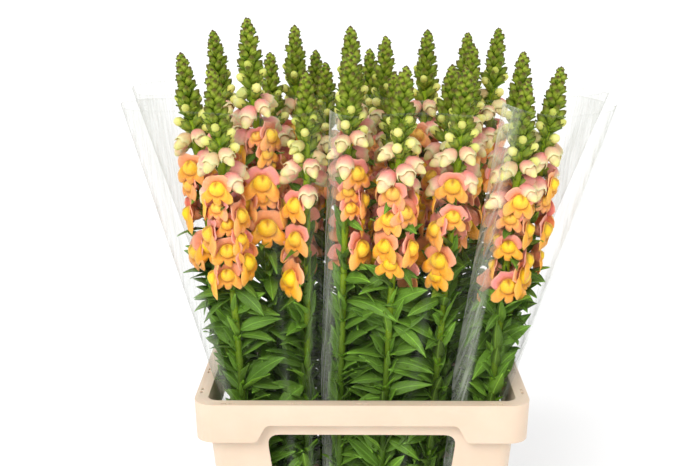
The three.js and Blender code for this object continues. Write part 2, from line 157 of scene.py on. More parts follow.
CONE_BUDS = {"count": 34, "first": 1, "last": 64}
# Leaves between the ones that the source grows, tufts of tiny ones in their axils, and some among the blooms.
FILL_LEAVES = {
    "count": 54, "highest": 256, "step": 7.2, "turn_deg": 25, "length": 40, "length_spread": 22, "key": 30,
}
SPIKE_LEAVES = {
    "count": 11, "highest": 150, "step": 10, "turn_deg": 200, "length": 27, "length_spread": 9, "key": 36,
}
TUFTS = {
    "count": 16, "highest": 268, "step": 21, "turn_deg": 110, "length": 15, "length_spread": 6, "key": 20,
}
# What these three have in common. A leaf is longer the lower it stands, up to the last of its gains.
SMALL_LEAF = {
    "step_spread": 9, "turn_spread": 40, "length_gain": 1.2, "gains": 8, "droop": 1.1, "droop_spread": 2,
    "width": 0.34, "width_spread": 0.08,
}
# Leaves that head outwards. The bends are pairs of rise and droop.
OUTER_LEAVES = {
    "count": 36, "highest": 252, "step": 9.6, "step_spread": 12, "length": 39, "length_spread": 16,
    "turn_spread": 100, "width": 0.36, "width_spread": 0.08, "key": 40,
    "bends": [(44, 1.2), (62, 0.9), (24, 1), (76, 0.4)],
}


def srgb(r, g, b):
    """A colour given as 0 to 255 in sRGB, as linear numbers."""
    c = np.array([r, g, b]) / 255
    return np.where(c <= 0.04045, c / 12.92, ((c + 0.055) / 1.055) ** 2.4)


PETAL = {
    "hood": srgb(248, 164, 94), "hood_pink": srgb(244, 146, 142), "edge": srgb(250, 192, 146),
    "palate": srgb(255, 212, 2), "palate_low": srgb(246, 168, 22), "groove": srgb(170, 84, 6),
    "lip": srgb(250, 168, 26), "lip_pink": srgb(242, 152, 136), "lip_edge": srgb(252, 192, 96),
    "tube": srgb(214, 158, 138),
    "cap": srgb(238, 142, 138), "cream": srgb(238, 234, 180), "pale": srgb(228, 224, 118),
    "lime": srgb(186, 194, 80),
}
LEAFY = {
    "stem": srgb(136, 164, 26), "stem_low": srgb(66, 94, 18), "sepal": srgb(108, 132, 38),
    "cone": srgb(172, 184, 66), "tip": srgb(66, 34, 22), "bract": srgb(80, 112, 24),
    "leaf": srgb(108, 154, 42), "leaf_dark": srgb(24, 54, 6), "rib": srgb(150, 182, 80),
    "under": srgb(92, 128, 42), "tuft": srgb(94, 138, 32),
}

# ---------------------------------------------------------------- how the stems grow


def draw(*keys):
    """A repeatable draw from 0 to 1 for a list of whole numbers, of which the last tells what is drawn."""
    h = 2166136261
    for key in keys:
        h = ((h ^ (key + 1)) * 16777619) & 0xFFFFFFFF
    h ^= h >> 13
    h = (h * 1540483477) & 0xFFFFFFFF
    h ^= h >> 15
    return h / 4294967296


def vary(spread, *keys):
    return spread * (draw(*keys) - 0.5)


class Stem:
    def __init__(self, index, bunch, foot_x, foot_y, tip_x, tip_y, tip_z, face_deg):
        self.index = index
        self.bunch = bunch
        self.face_deg = face_deg
        self.foot = np.array([foot_x, foot_y, FOOT_Z], float)
        self.chord = np.array([tip_x, tip_y, tip_z]) - self.foot
        self.length = float(np.linalg.norm(self.chord))
        self.up = self.chord / self.length
        east = np.array([1.0, 0, 0]) - self.up * self.up[0]
        self.east = east / np.linalg.norm(east)
        self.north = np.cross(self.up, self.east)
        self.bow = np.array([vary(BOW, index, 900), vary(BOW, index, 901), 0])

    def axis(self, d):
        """The point on the stem's line that lies d below its tip."""
        u = 1 - np.asarray(d, float)[..., None] / self.length
        return self.foot + self.chord * u + self.bow * 4 * u * (1 - u)

    def grown(self, organ, local):
        """Points of something that grows out of the stem, from (out, side, up) about its root."""
        out, side, up = np.moveaxis(np.asarray(local, float), -1, 0)
        a = math.radians(organ["heading"])
        e = math.radians(organ["lift"])
        o = (out * math.cos(e) - up * math.sin(e)) * organ["size"]
        h = (out * math.sin(e) + up * math.cos(e)) * organ["size"]
        s = side * organ["size"]
        return (
            self.axis(organ["below"])
            + (o * math.cos(a) - s * math.sin(a))[..., None] * self.east
            + (o * math.sin(a) + s * math.cos(a))[..., None] * self.north
            + h[..., None] * self.up
        )


def midrib(leaf, t):
    """A leaf's midrib bends outwards from its lift: (out, up) at the share t of its length."""
    e = math.radians(leaf["rise"])
    bend = 0.5 * leaf["droop"] * t * t
    return (
        leaf["length"] * (t * math.cos(e) + bend * math.sin(e)),
        leaf["length"] * (t * math.sin(e) - bend * math.cos(e)),
    )


def sleeve_at(name, z):
    """A sleeve's section at height z: its middle x and y, and its half widths."""
    keys = SLEEVES[name]
    k = sum(z >= key[0] for key in keys[1:-1])
    low, high = np.array(keys[k], float), np.array(keys[k + 1], float)
    _, left, right, front, back = low + (high - low) * (z - low[0]) / (high[0] - low[0])
    return (left + right) / 2, (front + back) / 2, (right - left) / 2, (back - front) / 2


def fits_sleeve(name, at, radius):
    """Whether a ball lies inside a sleeve's film. Above its mouth there is room everywhere."""
    bottom, mouth = SLEEVES[name][0][0], SLEEVES[name][-1][0]
    if at[2] > mouth + radius:
        return True
    x, y, half_x, half_y = sleeve_at(name, max(at[2], bottom))
    reach = radius + FILM["clear"]
    u = (abs(at[0] - x) + reach) / half_x
    return u < 1 and half_y * (1 - u**6) > abs(at[1] - y) + reach


class Taken:
    """Every ball so far: its centre, its radius, and the mesh that it belongs to."""

    def __init__(self):
        self.centre = np.empty((40000, 3))
        self.radius = np.empty(40000)
        self.owner = np.empty(40000, int)
        self.count = 0

    def add(self, centres, radii, owner):
        n = len(centres)
        self.centre[self.count : self.count + n] = centres
        self.radius[self.count : self.count + n] = radii
        self.owner[self.count : self.count + n] = owner
        self.count += n

    def near(self, point, reach):
        c = self.centre[: self.count]
        close = np.flatnonzero(np.abs(c - point).max(axis=1) < reach)
        return c[close], self.radius[close], self.owner[close]


taken = Taken()
# Balls that are farther than this from the first ball of a bloom, bud or leaf can't touch it.
NEAR = 120
# The owners of balls: a stem's leafy part, its spike, and one number more for each small thing. Once the
# source's leaves, blooms and buds are placed, AXIS_OWNER sets the balls on a stem's own line apart from them.
LEAFY_OWNER, AXIS_OWNER, SPIKE_OWNER, SMALL_OWNER = 0, 100, 1000, 2000
# A leaf is thin, so what stands between leaves may come closer to them than the leaves' own rule lets it.
SMALL_SHARE = 0.34
small_things = itertools.count(1)


def settle(stem, choices, balls_of, owner=None):
    """The first of the choices that is clear of all that is placed, or nothing.

    Without an owner it is a small thing, which keeps clear of all but its stem's own line.
    """
    kin = [owner]
    if owner is None:
        owner = SMALL_OWNER + next(small_things)
        kin = [LEAFY_OWNER + AXIS_OWNER + stem.index, SPIKE_OWNER + AXIS_OWNER + stem.index]
    around = None
    for organ in choices:
        centres, radii = balls_of(organ)
        if around is None:
            centre, radius, owners = taken.near(centres[0], NEAR)
            keep = ~np.isin(owners, kin)
            around = centre[keep], radius[keep]
        if not all(fits_sleeve(stem.bunch, c, r) for c, r in zip(centres, radii)):
            continue
        apart = np.linalg.norm(centres[:, None] - around[0][None], axis=2)
        if (apart > radii[:, None] + around[1][None]).all():
            taken.add(centres, radii, owner)
            return organ
    return None


def room_of(stem, organ, room):
    room = np.array(room, float)
    return stem.grown(organ, room[:, :3]), room[:, 3] * organ["size"]


def leaf_room_of(stem, leaf, share=1.0):
    along, side, radii = np.array(LEAF_ROOM, float).T
    out, up = midrib(leaf, along)
    return stem.grown(leaf, np.stack([out, side * leaf["half"], up], axis=1)), radii * share


def turned(heading, **facts):
    return [{"heading": heading + turn, **facts} for turn in TURNS]


def grow_organ(stem, j, table, room, owner=None):
    """A bloom or bud in the first free place, smaller if none of its turns is free."""
    key = table.get("key", 1)
    heading = stem.face_deg + table["turn_deg"] + j * GOLDEN_DEG
    below = table["lowest"] - table["step"] * j + vary(table.get("step_spread", 0), stem.index, j, key)
    full = table["size"] - table["size_drop"] * j + vary(table.get("size_spread", 0), stem.index, j, key + 1)
    choices = [
        c
        for share in table.get("shares", [1])
        for c in turned(heading, below=below, lift=table["lift"], size=full * share, number=j)
    ]
    room = [(*place, radius * table.get("slack", 1)) for *place, radius in room]
    return settle(stem, choices, lambda b: room_of(stem, b, room), owner)


def grow_leaf(stem, j, table):
    i = stem.index
    below = table["highest"] + table["step"] * j + vary(table["step_spread"], i, j, 3)
    if stem.axis(below)[2] < table["lowest_z"]:
        return None
    heading = stem.face_deg + table["turn_deg"] + j * GOLDEN_DEG
    grown_length = min(table["length"] + table["length_gain"] * j, table["longest"])
    length = grown_length + vary(table["length_spread"], i, j, 4)
    droop = table["droop"] + vary(table["droop_spread"], i, j, 5)
    facts = {"below": below, "lift": 0, "size": 1, "length": length, "droop": droop, "number": j}
    facts["half"] = length * table["width"] / 2
    choices = [c for rise in table["rises"] for c in turned(heading, rise=rise, **facts)]
    return settle(stem, choices, lambda leaf: leaf_room_of(stem, leaf), LEAFY_OWNER + i)


def grow_young_bud(stem, j, table):
    share = j / (table["count"] - 1)
    heading = stem.face_deg + table["turn_deg"] + j * GOLDEN_DEG
    size = table["size"] - table["size_drop"] * share
    lift = table["lift"] + table["lift_gain"] * share
    tip = table["tip"] - table["tip_step"] * j + vary(table["tip_spread"], stem.index, j, 11)
    below = tip + table["length"] * size * math.sin(math.radians(lift))
    choices = turned(heading, below=below, lift=lift, size=size, number=j)
    return settle(stem, choices, lambda b: room_of(stem, b, table["room"]))


def settle_leaf(stem, heading, bends, pick, **facts):
    """A small leaf in the first free place. The pick says which (rise, droop) is tried first."""
    last = len(bends) - 1
    first = int(last * pick)
    bends = bends[first:last] + bends[:first] + bends[last:]
    choices = [
        {**c, "rise": rise, "droop": droop}
        for c in turned(heading, lift=0, size=1, **facts)
        for rise, droop in bends
    ]
    return settle(stem, choices, lambda leaf: leaf_room_of(stem, leaf, SMALL_SHARE))


def grow_small_leaf(stem, j, table):
    i, key, common = stem.index, table["key"], SMALL_LEAF
    below = table["highest"] + table["step"] * j + vary(common["step_spread"], i, j, key)
    if stem.axis(below)[2] < LEAVES["lowest_z"]:
        return None
    heading = stem.face_deg + table["turn_deg"] + j * GOLDEN_DEG + vary(common["turn_spread"], i, j, key + 1)
    grown_length = table["length"] + min(j, common["gains"]) * common["length_gain"]
    length = grown_length + vary(table["length_spread"], i, j, key + 2)
    droop = common["droop"] + vary(common["droop_spread"], i, j, key + 3)
    half = length * (common["width"] + vary(common["width_spread"], i, j, key + 4)) / 2
    bends = [(66, droop), (30, droop), (52, 0.4 * droop), (-6, 0.7 * droop), (80, 0.15 * droop)]
    pick = draw(i, j, key + 5)
    return settle_leaf(stem, heading, bends, pick, below=below, length=length, half=half, number=j)


def grow_outer_leaf(stem, j, table):
    """A leaf that heads away from the container's middle, or for the nearest crease of its stem's film."""
    i, key = stem.index, table["key"]
    below = table["highest"] + table["step"] * j + vary(table["step_spread"], i, j, key)
    x, y, z = stem.axis(below)
    if z < LEAVES["lowest_z"]:
        return None
    toward = (0.4 * x, y)
    if j % 2:
        mid_x, mid_y, half_x, _ = sleeve_at(stem.bunch, z)
        toward = (mid_x + math.copysign(half_x, x - mid_x) - x, mid_y - y)
    heading = math.degrees(math.atan2(toward[1], toward[0])) + vary(table["turn_spread"], i, j, key + 1)
    length = table["length"] + vary(table["length_spread"], i, j, key + 2)
    half = length * (table["width"] + vary(table["width_spread"], i, j, key + 3)) / 2
    pick = draw(i, j, key + 4)
    return settle_leaf(stem, heading, table["bends"], pick, below=below, length=length, half=half, number=j)


stems = [Stem(i, *row) for i, row in enumerate(STEMS)]
for stem in stems:
    line = np.arange(AXIS_STEP / 2, stem.length, AXIS_STEP)
    on_spike = line < SPIKE_LENGTH
    radii = np.where(line < CONE_TOP_BALLS, CONE_RADIUS, STEM_RADIUS["foot"])
    taken.add(stem.axis(line[on_spike]), radii[on_spike], SPIKE_OWNER + stem.index)
    taken.add(stem.axis(line[~on_spike]), radii[~on_spike], LEAFY_OWNER + stem.index)
axis_count = taken.count


def grow_all(grow, table, *facts):
    """All of a kind, as one list for each stem."""
    return [
        [made for j in range(table["count"]) if (made := grow(stem, j, table, *facts))] for stem in stems
    ]


def grow_source(room):
    """The growth of what the source has too, which belongs to its spike."""
    return lambda stem, j, table: grow_organ(stem, j, table, room, SPIKE_OWNER + stem.index)


blooms = grow_all(grow_source(BLOOM_ROOM), BLOOMS)
buds = grow_all(grow_source(BUD_ROOM), BUDS)
leaves = grow_all(grow_leaf, LEAVES)

# Small things come next. The stems' own lines are set apart for them, and the source's leaves take less room.
taken.owner[:axis_count] += AXIS_OWNER
thin = np.arange(taken.count) >= axis_count
thin &= taken.owner[: taken.count] < AXIS_OWNER
taken.radius[: taken.count] *= np.where(thin, SMALL_SHARE, 1)
fill_blooms = grow_all(grow_organ, FILL_BLOOMS, BLOOM_ROOM)
fill_buds = grow_all(grow_organ, FILL_BUDS, BUD_ROOM)
young_buds = grow_all(grow_young_bud, YOUNG_BUDS)
tufts = grow_all(grow_small_leaf, TUFTS)
outer_leaves = grow_all(grow_outer_leaf, OUTER_LEAVES)
fill_leaves = grow_all(grow_small_leaf, FILL_LEAVES)
spike_leaves = grow_all(grow_small_leaf, SPIKE_LEAVES)

# ---------------------------------------------------------------- meshes


def mix(a, b, t):
    """From colour a to colour b by the share t, for each point."""
    t = np.clip(np.asarray(t, float), 0, 1)[..., None]
    return a * (1 - t) + b * t


def smooth(x, low, high):
    t = np.clip((x - low) / (high - low), 0, 1)
    return t * t * (3 - 2 * t)


def held(x, low=0, high=1):
    return float(np.clip(x, low, high))


def triple(a, b, c):
    """Points from their three coordinates, each a number or an array."""
    return np.stack(np.broadcast_arrays(a, b, c), axis=-1)


def quads(*corners):
    return np.stack(corners, axis=-1).reshape(-1, 4)


def wall_faces(ring):
    """Faces between closed rings of numbered points."""
    turn = np.roll(ring, -1, axis=1)
    return quads(ring[:-1], turn[:-1], turn[1:], ring[1:])


class Piece:
    """Surfaces gathered for one object, with a tint and a grain coordinate at each point."""

    def __init__(self):
        self.points, self.tints, self.grains, self.faces = [], [], [], []
        self.count = 0

    def add(self, points, tints, grains, faces):
        points = np.asarray(points, float).reshape(-1, 3)
        n = len(points)
        self.points.append(points)
        self.tints.append(np.broadcast_to(np.asarray(tints, float).reshape(-1, 3), (n, 3)))
        self.grains.append(np.broadcast_to(np.asarray(grains, float).reshape(-1, 3), (n, 3)))
        self.faces += [group + self.count for group in faces]
        self.count += n

    def build(self, name, material, slot, *nodes):
        points = np.concatenate(self.points) * MM
        starts, loops, at = [], [], 0
        for group in self.faces:
            count, corners = group.shape
            starts.append(at + corners * np.arange(count))
            loops.append(group.ravel())
            at += group.size
        starts = np.concatenate(starts).astype(np.int32)
        loops = np.concatenate(loops).astype(np.int32)
        made = bpy.data.meshes.new(name)
        made.vertices.add(len(points))
        made.vertices.foreach_set("co", points.ravel())
        made.loops.add(len(loops))
        made.loops.foreach_set("vertex_index", loops)
        made.polygons.add(len(starts))
        made.polygons.foreach_set("loop_start", starts)
        made.update(calc_edges=True)
        made.shade_smooth()
        tint = made.attributes.new("tint", "FLOAT_COLOR", "POINT")
        rgba = np.ones((len(points), 4))
        rgba[:, :3] = np.concatenate(self.tints)
        tint.data.foreach_set("color", rgba.ravel())
        grain = made.attributes.new("grain", "FLOAT_VECTOR", "POINT")
        grain.data.foreach_set("vector", np.concatenate(self.grains).ravel())
        placed(name, made, material, slot, *nodes)


def placed(name, made, material, slot, *nodes):
    """A mesh as a piece of the object, in place of the nodes that it stands for."""
    made.materials.clear()
    made.materials.append(material)
    obj = bpy.data.objects.new(name, made)
    bpy.context.scene.collection.objects.link(obj)
    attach(obj, "root")
    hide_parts(*nodes)


@functools.cache
def sheet_faces(nu, nv):
    """A thin closed sheet of nu by nv points: its front, its back and its rim."""
    front = np.arange(nu * nv).reshape(nu, nv)
    net = quads(front[:-1, :-1], front[1:, :-1], front[1:, 1:], front[:-1, 1:])
    edge = np.concatenate([front[:-1, 0], front[-1, :-1], front[:0:-1, -1], front[0, :0:-1]])
    after = np.roll(edge, -1)
    back = nu * nv
    return [net, net[:, ::-1] + back, quads(after, edge, edge + back, after + back)]


def grid_normals(p):
    n = np.cross(np.gradient(p, axis=0), np.gradient(p, axis=1))
    return n / np.maximum(np.linalg.norm(n, axis=-1, keepdims=True), 1e-9)


def add_sheet(piece, p, thick, tint, grain, back_tint=None):
    """A grid of points as a sheet with a thickness. Its front is where its two directions turn left."""
    nu, nv = p.shape[:2]
    n = grid_normals(p) * thick / 2
    both = np.concatenate([(p + n).reshape(-1, 3), (p - n).reshape(-1, 3)])
    tint = np.broadcast_to(tint, (nu, nv, 3)).reshape(-1, 3)
    behind = tint if back_tint is None else np.broadcast_to(back_tint, (nu, nv, 3)).reshape(-1, 3)
    grain = np.broadcast_to(grain, (nu, nv, 3)).reshape(-1, 3)
    piece.add(both, np.concatenate([tint, behind]), np.concatenate([grain, grain]), sheet_faces(nu, nv))


@functools.cache
def tube_faces(rings, sides):
    """A closed tube: a first point, rings of points and a last point."""
    ring = 1 + np.arange(rings * sides).reshape(rings, sides)
    turn = np.roll(ring, -1, axis=1)
    return [wall_faces(ring), triple(0, turn[0], ring[0]), triple(ring[-1], turn[-1], 1 + rings * sides)]


def add_tube(piece, rings, first, last, tint, grain, place=np.array):
    """Rings of points as a closed tube. The tints are given for the rings, and the ends take the nearest."""
    count, sides = rings.shape[:2]

    def with_ends(values):
        values = np.broadcast_to(values, (count, sides, 3))
        return np.concatenate([values[0, :1], values.reshape(-1, 3), values[-1, :1]])

    points = np.concatenate([[place(first)], place(rings).reshape(-1, 3), [place(last)]])
    piece.add(points, with_ends(tint), with_ends(grain), tube_faces(count, sides))


def lathe(profile, sides, wide=1.0):
    """Rings about the way out, from (out, radius) or (out, radius, shift up)."""
    profile = np.array([(*row, 0.0)[:3] for row in profile])
    a = 2 * np.pi * np.arange(sides) / sides
    out, r, shift = profile.T[:, :, None]
    return triple(out, wide * r * np.cos(a), wide * r * np.sin(a) + shift)


# ---------------------------------------------------------------- flowers


# How much broader the petals are drawn than the forms below.
BLOOM_BROADER = 1.1
BUD_BROADER = 1.16


def hood_form(opening, phase):
    """The upper lip: two broad lobes in a fan that stands up behind the palate, ruffled at its margin."""
    turn = np.radians(np.linspace(-126, 126, 18))[:, None]
    rho = np.linspace(0, 1, 6)[None, :]
    reach = 22.2 - 3.8 * np.exp(-((turn / 0.2) ** 2)) - 2.0 * np.exp(-((turn / 0.8) ** 2))
    reach -= 10.5 * smooth(np.abs(turn), 1.35, 2.1)
    reach += 0.8 * np.sin(4 * turn + phase)
    reach += 0.7 * np.sin(7 * turn + 2 * phase)
    r = 6 + (reach * (0.7 + 0.3 * opening) - 6) * rho
    leaning = (1 - opening) * 10 * rho * np.clip(np.cos(turn), 0, 1)
    out = 15 + 8.5 * rho**0.7 - 3.6 * rho**3 + leaning
    out = out + 1.2 * rho**2 * np.sin(4 * turn + 3 * phase) + 0.9 * rho**3 * np.sin(9 * turn + phase)
    return triple(out, r * np.sin(turn), 1 + r * np.cos(turn)), turn, rho


LIP_SIDES = np.array([0, 10, 18, 23.5, 29, 36, 45, 55, 68, 83, 106, 144, 180.0])
LIP_REACH = [22, 21.6, 19, 14.6, 20.5, 26, 27.8, 27, 23.4, 15.6, 11.2, 10.2, 9.6]


def lip_form(opening, phase):
    """The lower lip with its palate: rings from the throat over the back to the margin, and on to the crown.

    A small middle lobe hangs between two broad side lobes that spread like wings. The palate over them is a
    bump in two halves that shuts the throat.
    """
    away = np.concatenate([LIP_SIDES, LIP_SIDES[-2:0:-1]])[None, :]
    left = np.concatenate([np.ones(len(LIP_SIDES)), -np.ones(len(LIP_SIDES) - 2)])[None, :]
    turn = np.radians(away) * left
    foot = 10.2 - 0.5 * np.cos(2 * turn)
    reach = np.interp(away, LIP_SIDES, LIP_REACH)
    lobed = smooth(reach, 11, 16)
    reach = reach + lobed * (0.9 * np.sin(6 * turn + phase) + 0.8 * np.sin(9 * turn - phase))
    reach = foot * 1.02 + np.clip(reach * (0.74 + 0.26 * opening) - foot * 1.02, 0, None)
    share = np.array([0.5, 0.9, 1, 0.9, 0.62, 0.28, 0, 0, 0, 0])[:, None]
    crown = np.array([1, 1, 1, 1, 1, 1, 1, 0.86, 0.58, 0.26])[:, None]
    r = crown * foot + share * (reach - foot)
    behind = np.array([1.6, 1.0, 0.4, 0, 0, 0, 0, 0, 0, 0])[:, None]
    wing = lobed * (3.2 * np.sin(np.pi * np.minimum(share * 1.1, 1) ** 0.8) - 3.0 * share**3)
    wing = wing - 1.2 * (share == 0)
    wing = wing + lobed * share**2 * (0.9 * np.sin(5 * turn + 2 * phase) + (1 - opening) * 6)
    out = 22.6 + wing + 9.4 * np.sqrt(1 - crown**2) - behind
    side = r * np.sin(turn)
    up = 1 - r * np.cos(turn)
    hump = np.exp(-(((np.abs(side) - 4.4) / 3.4) ** 2)) * smooth(1 - crown, 0, 0.3) * smooth(up, -4, 4)
    groove = np.exp(-((side / 1.5) ** 2)) * smooth(up, -6, 1) * smooth(1 - crown, 0, 0.15)
    out = out + 1.3 * hump - 1.5 * groove
    return triple(out, side, up), turn, share, crown, groove


def add_bloom(petals, greens, stem, bloom, j, deeper):
    """An open bloom: its hood, its lip with the palate, the throat behind them and the calyx."""
    i = stem.index
    height = (BLOOMS["lowest"] - bloom["below"]) / 110
    young = float(smooth(height, 0.6, 1.0)) * min(1, 1.5 * deeper)
    pink = held(0.02 + 0.55 * height + 0.3 * young + deeper + 0.9 * (draw(i, j, 41) - 0.45))
    opening = held(1.02 - 0.35 * max(0, height - 0.5) - 0.12 * draw(i, j, 42), 0.6, 1)
    phase = 6.28 * draw(i, j, 43)
    roll = math.radians(vary(22, i, j, 44))
    # Painted light: blooms on the stems at the back are made brighter, and each bloom's brightness also
    # varies a little at random.
    light = 0.98 + 0.1 * (stem.foot[1] > 0) + vary(0.2, i, j, 45)

    def place(local):
        out, side, up = np.moveaxis(local, -1, 0)
        across = BLOOM_BROADER * (side * math.cos(roll) - (up - 1) * math.sin(roll))
        tall = 1 + BLOOM_BROADER * (side * math.sin(roll) + (up - 1) * math.cos(roll))
        return stem.grown(bloom, triple(out, across, tall))

    form, turn, rho = hood_form(opening, phase)
    rosy = held(0.55 * pink + 0.9 * draw(i, j, 46) - 0.1)
    tint = mix(PETAL["hood"], PETAL["hood_pink"], rosy * (0.45 + 0.75 * rho))
    tint = mix(tint, PETAL["palate_low"], 0.6 * (1 - smooth(rho, 0.05, 0.6)))
    tint = mix(tint, PETAL["edge"], 0.6 * smooth(rho, 0.78, 1))
    grain = triple(turn * 14, rho * 18, 0)
    add_sheet(petals, place(form), 0.7, tint * light, grain, mix(tint, PETAL["hood_pink"], 0.45) * light)

    form, turn, share, crown, groove = lip_form(opening, phase)
    pinker = min(1, max(0, pink * 1.1 - 0.35) + 0.3 * young)
    tint = mix(PETAL["lip"], PETAL["lip_pink"], pinker * smooth(share, 0.1, 0.9))
    tint = mix(tint, PETAL["lip_edge"], 0.7 * smooth(share, 0.75, 1))
    high = smooth(form[..., 2], -10, 1)
    face = mix(mix(PETAL["palate_low"], PETAL["palate"], high), PETAL["hood_pink"], 0.15 * pink + 0.3 * young)
    tint = mix(tint, face, 1 - smooth(share, 0.05, 0.6))
    # Painted shade: the groove at the top of the palate and the crease at the palate's foot are darkened with
    # the groove colour.
    sunk = 0.8 * groove * smooth(form[..., 2], 0, 6) + 0.4 * (share == 0) * (crown == 1)
    tint = mix(tint, PETAL["groove"], sunk)
    tint[:2] = mix(tint[:2], PETAL["lip_pink"], 0.5)
    grain = triple(turn * 14, (share + 1 - crown) * 16, 1)
    # The rings turn the other way round than a lathe's, so they are handed over in reverse.
    form, tint, grain = form[:, ::-1], tint[:, ::-1] * light, grain[:, ::-1]
    add_tube(petals, form, (15.5, 0, 0.8), (31.3, 0, 1), tint, grain, place)

    throat = lathe([(5, 2.6, -0.4), (9, 5.2, -0.6), (18.5, 8.4, 1)], 8)
    along = np.linspace(0, 1, len(throat))[:, None]
    tint = mix(PETAL["tube"], mix(PETAL["hood"], PETAL["hood_pink"], pink), along)
    add_tube(petals, throat, (4.5, 0, -0.4), (17.5, 0, 1), tint * light, (0, 0, 3), place)
    add_calyx(greens, stem, bloom, 4.5, 8, 5.0)


def add_calyx(greens, stem, organ, start, length, radius):
    """A stalk that widens into a cup of five pointed sepals, brown at their tips."""
    cup = lathe([
        (1.5, 1.3, -1.5), (start, 2.0, -0.2), (start + 0.32 * length, 0.9 * radius),
        (start + 0.7 * length, radius), (start + length, 0.95 * radius),
        (start + 0.62 * length, 0.8 * radius),
    ], 10)
    point = np.where(np.arange(10) % 2, -1.0, 1.0)
    cup[3, :, 1:] *= (1 + 0.07 * point)[:, None]
    cup[4, :, 0] += 0.2 * length * point
    shares = np.array([0, 0.2, 0.5, 0.8, 1, 0.6])[:, None]
    tint = mix(LEAFY["sepal"], LEAFY["cone"], 0.7 * shares * (0.5 + 0.5 * point))
    tint[4] = mix(tint[4], LEAFY["tip"], 0.85 * (point > 0))
    place = functools.partial(stem.grown, organ)
    add_tube(greens, cup, (0, 0, -1.5), (start + 0.5 * length, 0, 0), tint, (0, 0, 5), place)


def bent(form, start, over, turn_deg):
    """Points (along, side, across) about a line that bends down by an angle, as (out, side, up)."""
    along, side, across = np.moveaxis(np.asarray(form, float), -1, 0)
    radius = over / math.radians(turn_deg)
    a = np.clip(along - start, 0, over) / radius
    beyond = np.clip(along - start - over, 0, None)
    out = np.minimum(along, start) + radius * np.sin(a) + beyond * np.cos(a) + across * np.sin(a)
    up = radius * (np.cos(a) - 1) - beyond * np.sin(a) + across * np.cos(a)
    return triple(out, side, up)


def add_closed_bud(petals, greens, stem, bud, ripe, j):
    """A nodding bud shut round its palate: a domed cap with a scalloped margin over a narrower lower lip."""
    i = stem.index
    phase = 6.28 * draw(i, j, 51)
    plump = 1 + vary(0.14, i, j, 52)
    bud = {**bud, "size": bud["size"] * BUD_BROADER}
    nod = 72 + vary(30, i, j, 56)

    def place(form):
        return stem.grown(bud, bent(form, 6, 12, nod))

    cream = mix(PETAL["lime"], PETAL["cream"], min(1, 0.15 + ripe * 1.2))
    blush = held(ripe * 1.8 - 0.1 + vary(0.5, i, j, 53))
    profile = [(5.5, 2.6), (10, 6.0), (15, 7.4), (20, 7.2), (24.5, 6.1), (28.5, 4.5), (32, 2.2)]
    body = lathe(profile, 8, plump)
    t = np.linspace(0, 1, 7)[:, None]
    a = 2 * np.pi * np.arange(8)[None, :] / 8
    body[..., 1:] *= (1 + 0.12 * smooth(t, 0.5, 1) * np.cos(2 * a + phase))[..., None]
    tint = mix(cream, PETAL["lime"], 0.6 * (1 - smooth(t, 0.05, 0.35)))
    tint = mix(tint, PETAL["hood_pink"], 0.4 * blush * smooth(t, 0.2, 0.6) * (1 - smooth(t, 0.7, 1)))
    tint = mix(tint, PETAL["pale"], 0.55 * smooth(t, 0.6, 1))
    grain = triple(3 * t, body[..., 1], 6)
    add_tube(petals, body, (5, 0, 0), (32.8, 0, 0), tint, grain, place)

    a = np.radians(np.linspace(-124, 124, 13))[:, None]
    t = np.linspace(0, 1, 5)[None, :]
    scallop = 1.6 * np.cos(4 * a + phase) + 0.7 * np.cos(7 * a + 2 * phase)
    along = 7 + (16.4 - 1.4 * np.abs(a) + scallop) * t
    away = np.interp(along, [6, 9, 12, 15, 18, 21, 24], [3.4, 6.4, 8.2, 9.0, 9.0, 8.5, 8.1])
    away = away * plump + 0.5 * smooth(t, 0.8, 1)
    cap = triple(along, away * np.sin(a), away * np.cos(a))
    tint = mix(cream, PETAL["cap"], 1.15 * blush * (1 - smooth(t, 0.55, 1)) * (1 - 0.2 * np.abs(a)))
    tint = mix(tint, PETAL["cream"], 0.8 * smooth(t, 0.78, 1) * min(1, ripe + 0.3))
    tint = mix(tint, PETAL["lime"], 0.5 * (1 - smooth(t, 0, 0.35)) * (1 - 0.6 * blush))
    grain = triple(a * 9, t * 14, 0)
    add_sheet(petals, place(cap), 0.6, tint, grain)
    add_calyx(greens, stem, bud, 3.5, 10, 6.0)


def add_young_bud(petals, greens, stem, bud):
    """A round young bud at the end of a long green calyx that holds it away from the stem."""
    i, j = stem.index, bud["number"]
    share = j / (YOUNG_BUDS["count"] - 1)
    nod = 34 + vary(24, i, j, 57)
    body = lathe([(13, 3.4), (17, 5.0), (21, 5.6), (24.4, 4.6), (26.6, 2.3)], 8)
    t = np.linspace(0, 1, 5)[:, None]
    tint = mix(PETAL["lime"], PETAL["pale"], smooth(t, 0.1, 0.7) * (1 - 0.4 * share))
    tint = mix(tint, PETAL["cream"], 0.5 * smooth(t, 0.5, 1) * (1 - share))
    tint = mix(tint, LEAFY["cone"], 0.75 * smooth(share, 0.5, 1))

    def place(form):
        return stem.grown(bud, bent(form, 15, 9, nod))

    add_tube(petals, body, (10, 0, 0), (27.4, 0, 0), tint, (0, 0, 6), place)
    add_calyx(greens, stem, bud, 3, 14 + 4 * share, 6.0)


# How the cone's buds change with the depth of their tips below the top of the spike.
CONE_DEPTHS = [1, 4, 9, 18, 30, 46, 64]
CONE_LIFTS = [82, 66, 56, 51, 48, 45, 42]
CONE_LENGTHS = [8, 10.5, 12.5, 15, 17.5, 20.5, 23]
CONE_HALVES = [2.6, 3.1, 3.5, 3.8, 4.0, 4.3, 4.6]


